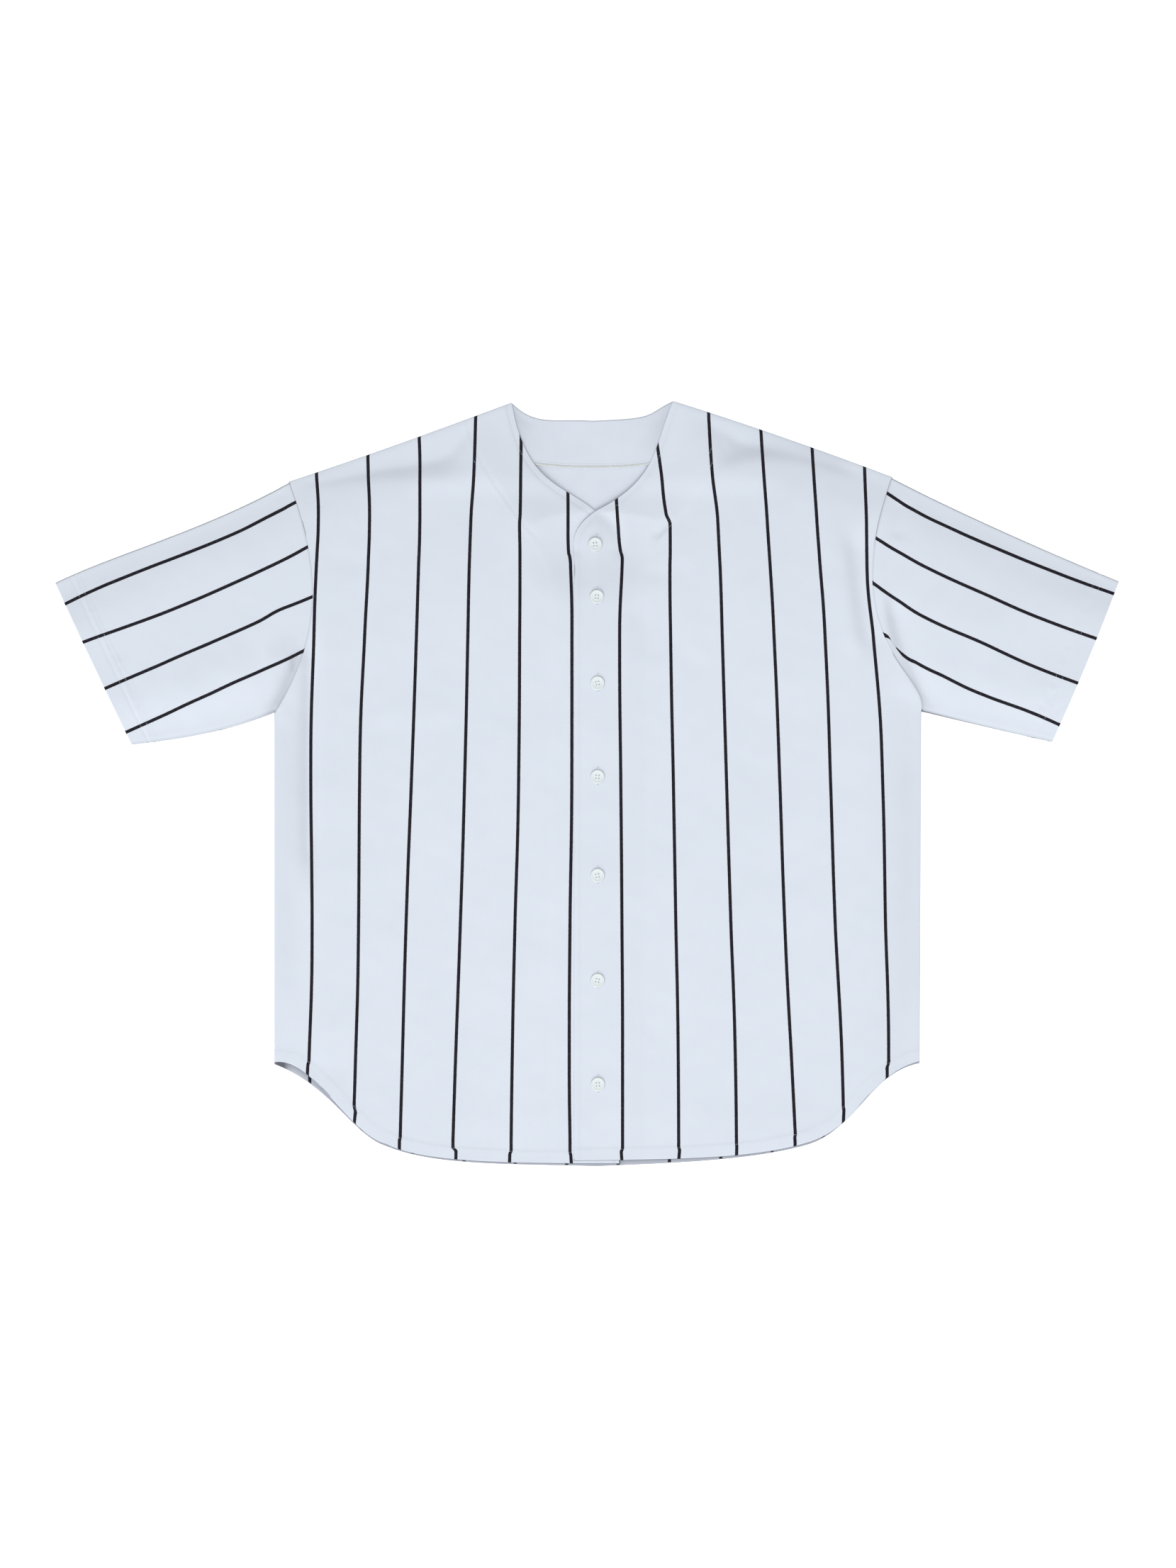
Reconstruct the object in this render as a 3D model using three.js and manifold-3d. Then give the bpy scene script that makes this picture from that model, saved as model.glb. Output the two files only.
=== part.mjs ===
// A short-sleeved baseball jersey, collarless and buttoned down the front, laid flat on its back.
// Lengths are millimetres. X runs across the chest, Y from the hem to the neck, Z up from the table.
// Left and right are the wearer's, so the left front, which buttons over the right one, is at +X.
import * as THREE from "three";
import { mergeVertices } from "three/addons/utils/BufferGeometryUtils.js";
import Module from "manifold-3d";

const wasm = await Module();
wasm.setup();

// Driving sizes of the cloth and its layers
const CLOTH = 1.2; // wall of double-knit cloth
const LAYER_GAP = 0.3; // air between two layers that are sewn together
const SEAM_GAP = 0.35; // the sleeve stands this far off the armhole
const LOFT = 2.9; // how far the fronts puff up off the back, away from their seams
const LOFT_RUN = 24; // distance from a seam over which they rise
const FREE_EDGE_RUN = 55; // distance from the hem over which that loft sinks again
const FREE_EDGE_LOFT = 0.45; // share of the loft that is left at the hem

// The back neck facing, a crescent sewn inside the neck
const FACING_CLOTH = 1.0;
const FACING_INSET = 0.6;
const FACING_BOTTOM_Y = 679.3;
const FACING_ALONG_SHOULDER = 0.19; // share of the shoulder seam that it reaches
const FACING_BOTTOM_BOW = [[55, -0.5], [107, 6]]; // its lower edge, from the middle of that edge
const FACING_HOLDS_ACROSS = 190; // it holds the fronts up this far either side of the neck
const FACING_HOLDS_BELOW = 65; // and this far below its lower edge
const FACING_HOLDS_FADE = 40; // and less and less over this length

// The button placket and its overlap
const PLACKET_EDGE_X = -22.5;
const PLACKET_TOP_Y = 600;
const OVERLAP_GAP = 0.45;
const OVERLAP_RUN = 24; // the left front comes down over this width beyond the right one

// The buttons
const BUTTON_RADIUS = 7.6;
const BUTTON_HEIGHT = 2.4;
const BUTTON_DISH = 1.5; // height of its middle, inside the rim
const BUTTON_HOLE_RADIUS = 0.85;
const BUTTON_HOLE_PITCH = 3.3;
const BUTTONS = [
  { x: -1.8, y: 605 },
  { x: -0.2, y: 554 },
  { x: 0.5, y: 470 },
  { x: 0.5, y: 379 },
  { x: 0.5, y: 283 },
  { x: 0.5, y: 181 },
  { x: 0.8, y: 80 },
];
const BUTTON_SEAT_GAP = 0.35;
const BUTTON_SIDES = 20;
const HOLE_SIDES = 8;

// How finely the seams and panels are divided. An armhole has the same notches on every piece.
const SIDE_STEPS = 12;
const ARMHOLE_STEPS = 14;
const SLEEVE_STEPS = 12;
const EDGE_STEPS = 16;
const SLEEVE_FOLD_SHARE = 0.007; // share of a sleeve's width in which its edges fold over
const SLEEVE_WALL_SHARE = 0.0055; // share of that width by which its inside is narrower
const ARMPIT_ROW = 0.6; // share of a front's rows below the armpit
const CORNER_NOTCH = 6; // the armhole notch whose row meets the top of the placket
const FRONT_COLUMNS = [
  0, 0.02, 0.05, 0.09, 0.14, 0.2, 0.27, 0.35, 0.43, 0.51, 0.59, 0.67, 0.75, 0.82, 0.88, 0.94, 1,
];

// Corners of the outline, as distances from the centre line, and the control points of its curves.
const NECK_CENTRE_X = -4.5;
const NECK_DIP_Y = 725.5;
const right = {
  sign: -1,
  neck: [83, 743],
  shoulder: [300, 666],
  armpit: [314, 441],
  hem: [314, 101],
  cuffTop: [528, 568],
  cuffBottom: [453, 409.5],
  shoulderBow: [[200, 699]],
  armholeBow: [[261, 565], [274, 505]],
  sleeveTopBow: [[386, 618], [468, 597.5]],
  underarmBow: [[367, 418]],
  cuffBow: [[491, 488.5]],
  hemBow: [[276, 107], [241, 30]],
  hemBend: [205, 20.5],
  hemFlatBow: [[169, 2], [85, 1.7]],
  hemRise: 1.7,
  backNeckBow: [[60, 719.5], [41, 728]],
  backHemBow: [[259, 79], [237, 29]],
  backHemFlatBow: [[158, 0], [83, 2.5]],
};
const left = {
  sign: 1,
  neck: [74, 744.5],
  shoulder: [287.5, 670.5],
  armpit: [315.5, 441.5],
  hem: [314, 102],
  cuffTop: [508.5, 569.5],
  cuffBottom: [443, 412],
  shoulderBow: [[181, 711]],
  armholeBow: [[227, 505], [327, 480]],
  sleeveTopBow: [[346.5, 639.5], [437, 599]],
  underarmBow: [[378, 426]],
  cuffBow: [[479, 492]],
  hemBow: [[263, 89], [257, 39]],
  hemBend: [205, 22],
  hemFlatBow: [[154.5, 6.5], [82.5, 5.5]],
  hemRise: 4.5,
  backNeckBow: [[45, 731], [62, 728]],
  backHemBow: [[265.5, 91], [251, 34.5]],
  backHemFlatBow: [[153, 6], [80, 3.3]],
};
// The back's hem shows below the fronts' by this much, at the side seams and at the S-bends.
const BACK_HEM_CORNER_DROP = 1.8;
const BACK_HEM_BEND_DROP = 1;

// Where the front neckline of each side passes, down to where the other front covers it.
const NECKLINE = {
  right: [[-83, 743], [-69, 663.5], [-34.5, 664.5], [-2.3, 638.4]],
  left: [[74, 744.5], [55.5, 703], [60.5, 668.5], [0, 638.5]],
};
const PLACKET_CORNER_BOW = [[15.3, 628.3], [25, 616.6]];

// The main folds: a ridge or trough of a width either side of a line from one end to the other.
const FOLDS = [
  { name: "right shoulder hollow", from: [-288, 672], to: [-112, 699], width: 13, height: -1.3 },
  { name: "left shoulder hollow", from: [118, 700], to: [262, 680], width: 12, height: -1.3 },
  { name: "right chest edge", from: [-292, 651], to: [-128, 662], width: 12, height: 0.7 },
  { name: "left chest edge", from: [130, 668], to: [256, 660], width: 12, height: 0.7 },
  { name: "right side roll", from: [-301, 455], to: [-301, 285], width: 9, height: 1.1 },
  { name: "right side trough", from: [-272, 500], to: [-274, 290], width: 12, height: -1.3 },
  { name: "left chest roll", from: [231, 628], to: [243, 530], width: 11, height: 1.3 },
  { name: "left side trough", from: [254, 600], to: [283, 462], width: 10, height: -1.4 },
  { name: "right armpit crease", from: [-301, 492], to: [-318, 446], width: 7, height: -1.6 },
  { name: "left armpit crease", from: [289, 535], to: [320, 448], width: 7, height: -1.6 },
  { name: "right sleeve puff", from: [-330, 495], to: [-420, 455], width: 22, height: 0.8 },
  { name: "left sleeve head trough", from: [296, 650], to: [287, 590], width: 9, height: -0.9 },
  { name: "left sleeve puff", from: [318, 560], to: [400, 505], width: 24, height: 0.7 },
  { name: "right hem corner lift", from: [-306, 104], to: [-282, 92], width: 14, height: 1.9 },
];

const CLOTH_MATERIAL = new THREE.MeshStandardMaterial({ color: "#dfe6f0", roughness: 0.85, metalness: 0 });
const FACING_MATERIAL = new THREE.MeshStandardMaterial({ color: "#d9e0ec", roughness: 0.9, metalness: 0 });
const BUTTON_MATERIAL = new THREE.MeshStandardMaterial({ color: "#e9eef0", roughness: 0.35, metalness: 0 });

// Points and curves in the plane of the table

const onSide = (side, [x, y]) => new THREE.Vector2(side.sign * x, y);
const plan = ([x, y]) => new THREE.Vector2(x, y);
const mix = (a, b, t) => a.clone().lerp(b, t);

// A line, quadratic or cubic curve through the ends, drawn towards its control points.
function curveThrough(points) {
  if (points.length === 2) return new THREE.LineCurve(...points);
  if (points.length === 3) return new THREE.QuadraticBezierCurve(...points);
  return new THREE.CubicBezierCurve(...points);
}

// Curves end to end as evenly notched chords: a function from 0 to 1, and its notches.
function seam(curves, steps) {
  const path = new THREE.CurvePath();
  curves.forEach((curve) => path.add(curve));
  const notches = Array.from({ length: steps + 1 }, (_, i) => path.getPointAt(i / steps));
  const at = (t) => {
    const i = Math.min(Math.floor(t * steps), steps - 1);
    return mix(notches[i], notches[i + 1], t * steps - i);
  };
  return { at, notches };
}

// Two seams that meet at a corner, as one function from 0 to 1 with the corner at a share.
const joined = (first, second, corner) => (t) =>
  t <= corner ? first.at(t / corner) : second.at((t - corner) / (1 - corner));

// The patch of cloth between four edges: bottom and top run across, start and end run up.
function patchBetween(bottom, top, start, end) {
  const corners = [bottom(0), bottom(1), top(0), top(1)];
  return (u, v) => {
    const acrossEdges = mix(bottom(u), top(u), v);
    const upEdges = mix(start(v), end(v), u);
    const flat = mix(mix(corners[0], corners[1], u), mix(corners[2], corners[3], u), v);
    return acrossEdges.add(upEdges).sub(flat);
  };
}

function sideSeams(side) {
  const at = (name) => onSide(side, side[name]);
  const bow = (name) => side[name].map((point) => onSide(side, point));
  const line = (from, control, to, steps) =>
    seam([curveThrough([at(from), ...bow(control), at(to)])], steps);
  return {
    shoulder: line("shoulder", "shoulderBow", "neck", EDGE_STEPS),
    armhole: line("shoulder", "armholeBow", "armpit", ARMHOLE_STEPS),
    sleeveTop: line("shoulder", "sleeveTopBow", "cuffTop", SLEEVE_STEPS),
    underarm: line("armpit", "underarmBow", "cuffBottom", SLEEVE_STEPS),
    cuff: line("cuffTop", "cuffBow", "cuffBottom", ARMHOLE_STEPS),
    side: seam([new THREE.LineCurve(at("hem"), at("armpit"))], SIDE_STEPS),
  };
}

const seams = { right: sideSeams(right), left: sideSeams(left) };

// The hem from a side seam, through its S-bend, to a point on the bottom edge.
function hemCurves(side, corner, bow, bend, flatBow, end) {
  const bowed = (points) => points.map((point) => onSide(side, point));
  return [
    curveThrough([corner, ...bowed(bow), bend]),
    curveThrough([bend, ...bowed(flatBow), end]),
  ];
}

// Heights above the table

const smooth = (t) => {
  const clamped = THREE.MathUtils.clamp(t, 0, 1);
  return clamped * clamped * (3 - 2 * clamped);
};

function distanceToSegment(x, y, from, to) {
  const dx = to.x - from.x;
  const dy = to.y - from.y;
  const along = THREE.MathUtils.clamp(
    ((x - from.x) * dx + (y - from.y) * dy) / (dx * dx + dy * dy), 0, 1);
  return Math.hypot(x - from.x - along * dx, y - from.y - along * dy);
}

// The seams and folded edges round the jersey, where its two faces come together.
const closedEdges = Object.values(seams).flatMap(({ shoulder, sleeveTop, underarm, side }) =>
  [shoulder, sleeveTop, underarm, side].flatMap(({ notches }) =>
    notches.slice(1).map((point, i) => [notches[i], point])));

function distanceToClosedEdge(x, y) {
  return Math.min(...closedEdges.map(([from, to]) => distanceToSegment(x, y, from, to)));
}

function foldHeight(x, y) {
  return FOLDS.reduce((sum, fold) => {
    const away = distanceToSegment(x, y, plan(fold.from), plan(fold.to)) / fold.width;
    return sum + fold.height * Math.exp(-away * away);
  }, 0);
}

// What lies inside the neck holds the fronts up there.
function facingShare(x, y) {
  const across = FACING_HOLDS_ACROSS - Math.abs(x - NECK_CENTRE_X);
  const above = y - FACING_BOTTOM_Y + FACING_HOLDS_BELOW;
  return smooth(across / FACING_HOLDS_FADE) * smooth(above / FACING_HOLDS_FADE);
}

// The air between the back and what lies over it.
function gapAt(x, y) {
  const held = LAYER_GAP + (FACING_CLOTH + LAYER_GAP) * facingShare(x, y);
  const away = distanceToClosedEdge(x, y) / LOFT_RUN;
  const nearHem = FREE_EDGE_LOFT + (1 - FREE_EDGE_LOFT) * smooth(y / FREE_EDGE_RUN);
  const puff = LOFT * nearHem * (1 - Math.exp(-away * away)) + foldHeight(x, y) * smooth(away);
  return held + Math.max(puff, 0);
}

// Solids

// A closed geometry from corner points and faces of four corners, turned to face outwards.
function solidFrom(points, quads) {
  const index = quads.flatMap(([a, b, c, d]) => [a, b, c, a, c, d]);
  const geometry = new THREE.BufferGeometry();
  geometry.setAttribute("position", new THREE.Float32BufferAttribute(points.flat(), 3));
  let volume = 0;
  for (let i = 0; i < index.length; i += 3) {
    const [a, b, c] = index.slice(i, i + 3).map((k) => new THREE.Vector3(...points[k]));
    volume += a.dot(b.cross(c));
  }
  geometry.setIndex(volume < 0 ? index.reverse() : index);
  geometry.computeVertexNormals();
  return geometry;
}

// A panel of cloth on a grid of rows: each point has a place, an underside and a thickness.
function panelSolid(patch, columns, rows, undersideAt) {
  const points = [];
  for (const v of rows)
    for (const u of columns) {
      const place = patch(u, v);
      const under = undersideAt(place.x, place.y);
      points.push([place.x, place.y, under], [place.x, place.y, under + CLOTH]);
    }
  const wide = columns.length;
  const under = (row, column) => 2 * (row * wide + column);
  const over = (row, column) => under(row, column) + 1;
  const quads = [];
  const lastRow = rows.length - 1;
  const lastColumn = wide - 1;
  for (let r = 0; r < lastRow; r++)
    for (let c = 0; c < lastColumn; c++)
      quads.push(
        [over(r, c), over(r, c + 1), over(r + 1, c + 1), over(r + 1, c)],
        [under(r, c), under(r + 1, c), under(r + 1, c + 1), under(r, c + 1)]);
  for (let c = 0; c < lastColumn; c++)
    quads.push(
      [under(0, c), under(0, c + 1), over(0, c + 1), over(0, c)],
      [over(lastRow, c), over(lastRow, c + 1), under(lastRow, c + 1), under(lastRow, c)]);
  for (let r = 0; r < lastRow; r++)
    quads.push(
      [over(r, 0), over(r + 1, 0), under(r + 1, 0), under(r, 0)],
      [under(r, lastColumn), under(r + 1, lastColumn), over(r + 1, lastColumn), over(r, lastColumn)]);
  return solidFrom(points, quads);
}

// A tube of cloth from rings, each with an outer and an inner loop of as many points.
function tubeSolid(rings) {
  const count = rings[0].outer.length;
  const points = rings.flatMap(({ outer, inner }) => [...outer, ...inner]);
  const outer = (ring, i) => ring * 2 * count + (i % count);
  const inner = (ring, i) => outer(ring, i) + count;
  const quads = [];
  const last = rings.length - 1;
  for (let i = 0; i < count; i++) {
    for (let r = 0; r < last; r++)
      quads.push(
        [outer(r, i), outer(r, i + 1), outer(r + 1, i + 1), outer(r + 1, i)],
        [inner(r, i), inner(r + 1, i), inner(r + 1, i + 1), inner(r, i + 1)]);
    quads.push(
      [outer(0, i), inner(0, i), inner(0, i + 1), outer(0, i + 1)],
      [outer(last, i), outer(last, i + 1), inner(last, i + 1), inner(last, i)]);
  }
  return solidFrom(points, quads);
}

// A flat piece of cloth cut to an outline of points, lying at a height.
function flatPiece(outline, thickness, height) {
  const geometry = new THREE.ExtrudeGeometry(new THREE.Shape(outline), {
    depth: thickness,
    bevelEnabled: false,
  });
  return geometry.translate(0, 0, height);
}

// Pieces of the jersey

// The outline of an edge without its last point, which the next edge starts with.
const upToLast = (notches) => notches.slice(0, -1);

function backNeckline(steps) {
  const half = (side) => curveThrough([
    onSide(side, side.neck),
    ...side.backNeckBow.map((point) => onSide(side, point)),
    new THREE.Vector2(NECK_CENTRE_X, NECK_DIP_Y),
  ]);
  const toCentre = (side) => seam([half(side)], steps / 2).notches;
  return [...upToLast(toCentre(left)), ...toCentre(right).reverse()];
}

function backPanel() {
  const half = (side, name) => {
    const corner = onSide(side, side.hem).setY(side.hem[1] - BACK_HEM_CORNER_DROP);
    const bend = onSide(side, side.hemBend).setY(side.hemBend[1] - BACK_HEM_BEND_DROP);
    const middle = new THREE.Vector2(0, 0);
    const hem = hemCurves(side, corner, side.backHemBow, bend, side.backHemFlatBow, middle);
    const sideSeam = new THREE.LineCurve(corner, onSide(side, side.armpit));
    return {
      hem: seam(hem, 2 * EDGE_STEPS).notches.reverse(),
      side: seam([sideSeam], SIDE_STEPS).notches,
      armhole: [...seams[name].armhole.notches].reverse(),
      shoulder: seams[name].shoulder.notches,
    };
  };
  const upTheLeft = half(left, "left");
  const downTheRight = half(right, "right");
  const outline = [
    ...upToLast(upTheLeft.hem),
    ...upToLast(upTheLeft.side),
    ...upToLast(upTheLeft.armhole),
    ...upToLast(upTheLeft.shoulder),
    ...upToLast(backNeckline(EDGE_STEPS)),
    ...upToLast([...downTheRight.shoulder].reverse()),
    ...upToLast([...downTheRight.armhole].reverse()),
    ...upToLast([...downTheRight.side].reverse()),
    ...upToLast([...downTheRight.hem].reverse()),
  ];
  return flatPiece(outline, CLOTH, 0);
}

// The crescent inside the back neck: along the neckline, down each shoulder and back below.
function backNeckFacing() {
  const inset = (point) => new THREE.Vector2(point.x, point.y - FACING_INSET);
  const end = (side, name) => inset(seams[name].shoulder.at(1 - FACING_ALONG_SHOULDER));
  const middle = new THREE.Vector2(NECK_CENTRE_X, FACING_BOTTOM_Y);
  const below = (side, name) => curveThrough([
    middle,
    ...FACING_BOTTOM_BOW.map((point) => onSide(side, point).add(middle)),
    end(side, name),
  ]);
  const bottomRight = seam([below(right, "right")], EDGE_STEPS / 2).notches;
  const bottomLeft = seam([below(left, "left")], EDGE_STEPS / 2).notches;
  return flatPiece(
    [...upToLast(backNeckline(EDGE_STEPS).map(inset)), inset(onSide(right, right.neck)),
      ...upToLast([...bottomRight].reverse()), ...bottomLeft],
    FACING_CLOTH,
    CLOTH + LAYER_GAP);
}

// Both fronts run past the centre to a placket edge and round a corner into the neckline.
function frontPanel(side, name) {
  const edgeX = side.sign * PLACKET_EDGE_X;
  const hemCorner = onSide(side, side.hem);
  const hemBend = onSide(side, side.hemBend);
  const hemEnd = new THREE.Vector2(edgeX, side.hemRise);
  const { shoulder, armhole, side: sideSeam } = seams[name];
  const neckCurve = curveThrough(NECKLINE[name].map(plan));
  const cornerCurve = curveThrough([
    new THREE.Vector2(edgeX, PLACKET_TOP_Y),
    ...[...PLACKET_CORNER_BOW].reverse().map(([x, y]) => new THREE.Vector2(-side.sign * x, y)),
    neckCurve.getPoint(1),
  ]);
  const neckUp = curveThrough([...NECKLINE[name]].reverse().map(plan));
  const hem = seam(
    hemCurves(side, hemCorner, side.hemBow, hemBend, side.hemFlatBow, hemEnd), 2 * EDGE_STEPS);
  const placket = seam([
    new THREE.LineCurve(hem.at(1), new THREE.Vector2(edgeX, PLACKET_TOP_Y)),
  ], SIDE_STEPS);
  const neckline = seam([cornerCurve, neckUp], EDGE_STEPS);
  const armholeUp = { at: (t) => armhole.at(1 - t) };
  const rowAtCorner = ARMPIT_ROW + ((1 - ARMPIT_ROW) * CORNER_NOTCH) / ARMHOLE_STEPS;
  const patch = patchBetween(
    hem.at,
    shoulder.at,
    joined(sideSeam, armholeUp, ARMPIT_ROW),
    joined(placket, neckline, rowAtCorner));
  const rows = [
    ...Array.from({ length: SIDE_STEPS }, (_, i) => (ARMPIT_ROW * i) / SIDE_STEPS),
    ...Array.from({ length: ARMHOLE_STEPS + 1 },
      (_, i) => ARMPIT_ROW + ((1 - ARMPIT_ROW) * i) / ARMHOLE_STEPS),
  ];
  return panelSolid(patch, FRONT_COLUMNS, rows, (x, y) => frontUnderside(side, x, y));
}

// The left front also passes over the right one, and comes down beyond it.
function frontUnderside(side, x, y) {
  const overlap = CLOTH + OVERLAP_GAP;
  const over = smooth((-PLACKET_EDGE_X + OVERLAP_RUN - x) / OVERLAP_RUN);
  return CLOTH + gapAt(x, y) + (side === left ? overlap * over : 0);
}

// A set-in sleeve is a tube, folded flat along its top and seamed under the arm.
function sleeve(side, name) {
  const { armhole, sleeveTop, underarm, cuff } = seams[name];
  const standOff = new THREE.Vector2(side.sign * SEAM_GAP, 0);
  const moved = (edge) => (t) => edge.at(t).add(standOff);
  const patch = patchBetween(moved(armhole), moved(cuff), moved(sleeveTop), moved(underarm));
  const across = Array.from({ length: ARMHOLE_STEPS - 1 }, (_, i) => (i + 1) / ARMHOLE_STEPS);
  const foldHeightMiddle = CLOTH + LAYER_GAP / 2;
  const ring = (along, inset) => {
    const isInner = inset > 0;
    const turn = SLEEVE_FOLD_SHARE + inset;
    const shares = [turn, ...across, 1 - turn];
    const at = (share, height) => {
      const place = patch(share, along);
      return [place.x, place.y, height(place.x, place.y)];
    };
    const front = (x, y) => CLOTH + gapAt(x, y) + (isInner ? 0 : CLOTH);
    const back = () => (isInner ? CLOTH : 0);
    return [
      at(inset, () => foldHeightMiddle),
      ...shares.map((share) => at(share, front)),
      at(1 - inset, () => foldHeightMiddle),
      ...[...shares].reverse().map((share) => at(share, back)),
    ];
  };
  const rings = Array.from({ length: SLEEVE_STEPS + 1 }, (_, i) => ({
    outer: ring(i / SLEEVE_STEPS, 0),
    inner: ring(i / SLEEVE_STEPS, SLEEVE_WALL_SHARE),
  }));
  return tubeSolid(rings);
}

// A closed geometry as a solid that can be cut, and back.
function toManifold(geometry) {
  const bare = geometry.clone();
  bare.deleteAttribute("normal");
  bare.deleteAttribute("uv");
  const merged = mergeVertices(bare);
  return new wasm.Manifold(new wasm.Mesh({
    numProp: 3,
    vertProperties: merged.attributes.position.array,
    triVerts: new Uint32Array(merged.index.array),
  }));
}

function toGeometry(manifold) {
  const mesh = manifold.getMesh();
  const geometry = new THREE.BufferGeometry();
  geometry.setAttribute("position", new THREE.BufferAttribute(mesh.vertProperties, 3));
  geometry.setIndex(new THREE.BufferAttribute(mesh.triVerts, 1));
  geometry.computeVertexNormals();
  return geometry;
}

// A four-hole button with a rounded rim and a dished middle, standing on z = 0.
function buttonGeometry() {
  const profile = [
    [0, 0],
    [BUTTON_RADIUS - 0.9, 0],
    [BUTTON_RADIUS, 0.8],
    [BUTTON_RADIUS, BUTTON_HEIGHT - 0.8],
    [BUTTON_RADIUS - 0.8, BUTTON_HEIGHT],
    [BUTTON_RADIUS - 1.8, BUTTON_HEIGHT],
    [BUTTON_RADIUS - 2.6, BUTTON_DISH],
    [0, BUTTON_DISH],
  ].map(plan);
  const upright = (geometry) => geometry.rotateX(Math.PI / 2);
  let body = toManifold(upright(new THREE.LatheGeometry(profile, BUTTON_SIDES)));
  for (const x of [-1, 1])
    for (const y of [-1, 1]) {
      const hole = upright(new THREE.CylinderGeometry(
        BUTTON_HOLE_RADIUS, BUTTON_HOLE_RADIUS, 3 * BUTTON_HEIGHT, HOLE_SIDES));
      hole.translate((x * BUTTON_HOLE_PITCH) / 2, (y * BUTTON_HOLE_PITCH) / 2, 0);
      body = body.subtract(toManifold(hole));
    }
  return toGeometry(body);
}

function named(name, geometry, material) {
  const mesh = new THREE.Mesh(geometry, material);
  mesh.name = name;
  return mesh;
}

// The jersey, with the middle of its spread on the origin

const jersey = new THREE.Group();
jersey.add(
  named("back_panel", backPanel(), CLOTH_MATERIAL),
  named("back_neck_facing", backNeckFacing(), FACING_MATERIAL),
  named("front_right", frontPanel(right, "right"), CLOTH_MATERIAL),
  named("front_left", frontPanel(left, "left"), CLOTH_MATERIAL),
  named("sleeve_right", sleeve(right, "right"), CLOTH_MATERIAL),
  named("sleeve_left", sleeve(left, "left"), CLOTH_MATERIAL));

BUTTONS.forEach(({ x, y }, i) => {
  const button = named(`button_${i + 1}`, buttonGeometry(), BUTTON_MATERIAL);
  const seat = frontUnderside(left, x, y) + CLOTH + BUTTON_SEAT_GAP;
  button.position.set(x, y, seat);
  jersey.add(button);
});

const spread = new THREE.Box3().setFromObject(jersey);
const middle = spread.getCenter(new THREE.Vector3());
jersey.position.set(-middle.x, -middle.y, 0);

export default jersey;
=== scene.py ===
# %% [markdown]
# # A baseball jersey, laid out flat
# The jersey is a sandwich of cloth. The back lies on the table with a crescent of facing inside its
# neck, the two fronts lie on the back and overlap down the middle, and each sleeve is a flattened
# tube. Lengths below are millimetres in the jersey's own plan: X from the middle of the chest towards
# the wearer's left, Y up from the hem, and Z up from the table. Left and right are the wearer's.

# %% Load the frame
import math
from functools import partial

import bpy
import numpy as np
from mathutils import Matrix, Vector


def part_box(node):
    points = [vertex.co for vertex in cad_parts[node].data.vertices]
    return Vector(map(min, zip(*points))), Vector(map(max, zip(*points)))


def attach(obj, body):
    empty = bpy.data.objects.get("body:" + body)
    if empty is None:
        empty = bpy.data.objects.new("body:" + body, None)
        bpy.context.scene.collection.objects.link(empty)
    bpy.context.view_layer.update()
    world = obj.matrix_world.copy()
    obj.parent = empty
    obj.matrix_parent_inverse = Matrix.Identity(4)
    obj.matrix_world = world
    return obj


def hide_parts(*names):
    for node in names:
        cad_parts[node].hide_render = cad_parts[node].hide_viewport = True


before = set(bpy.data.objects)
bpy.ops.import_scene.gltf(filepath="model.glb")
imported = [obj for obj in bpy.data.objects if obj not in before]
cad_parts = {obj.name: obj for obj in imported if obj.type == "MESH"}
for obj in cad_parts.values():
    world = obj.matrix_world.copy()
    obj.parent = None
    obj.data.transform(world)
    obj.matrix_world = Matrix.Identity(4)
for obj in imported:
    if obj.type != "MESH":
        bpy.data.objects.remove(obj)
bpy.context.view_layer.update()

# %% [markdown]
# The frame's own origin is the middle of the whole spread. The back panel's lowest corner, its right
# side seam and the bottom of its hem, tells where the jersey's plan lies in that frame.

# %% Place the plan in the frame
MM = 0.001
SIDE_SEAM_X = 314.0
back_corner = np.array(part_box("back_panel")[0]) / MM
PLAN_TO_FRAME = np.array([back_corner[0] + SIDE_SEAM_X, back_corner[1]])
print("plan to frame, mm:", PLAN_TO_FRAME.round(2))

# %% [markdown]
# Every cut edge and seam is a gentle curve, so each is a Bezier curve drawn towards one or two
# control points, and several can follow each other. Blender's curve objects draw them too, but the
# cloth needs its edges as numbers. A maker divides a seam by length, with notches, and so does
# `Edge.at`, so that two pieces that share a seam agree on it.


# %% Curved edges
def curve(points, count=120):
    """Places along a line, or a curve drawn towards the points between its ends."""
    steps = np.linspace(0, 1, count)[:, None]
    points = [np.array(point, float) for point in points]
    while len(points) > 1:
        points = [a + (b - a) * steps for a, b in zip(points, points[1:])]
    return points[0]


class Edge:
    """Curves end to end, read at shares of the whole length."""

    def __init__(self, *runs):
        self.points = np.concatenate([runs[0], *[run[1:] for run in runs[1:]]])
        lengths = np.linalg.norm(np.diff(self.points, axis=0), axis=1)
        along = np.concatenate([[0], np.cumsum(lengths)])
        self.length = along[-1]
        self.shares = along / self.length

    def at(self, share):
        x, y = (np.interp(share, self.shares, self.points[:, i]) for i in (0, 1))
        return np.stack([x, y], axis=-1)

    def beside(self, distance):
        """The parallel edge at a distance to the left of this one's direction."""
        steps = np.gradient(self.points, axis=0)
        steps /= np.linalg.norm(steps, axis=1)[:, None]
        return Edge(self.points + distance * np.stack([-steps[:, 1], steps[:, 0]], axis=1))


def joined(first, second, corner):
    """Two edges that meet at a corner, as one function of 0 to 1 with the corner at a share."""
    def at(share):
        share = np.asarray(share, float)
        low = first.at(np.clip(share / corner, 0, 1))
        high = second.at(np.clip((share - corner) / (1 - corner), 0, 1))
        return np.where((share <= corner)[..., None], low, high)
    return at


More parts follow.
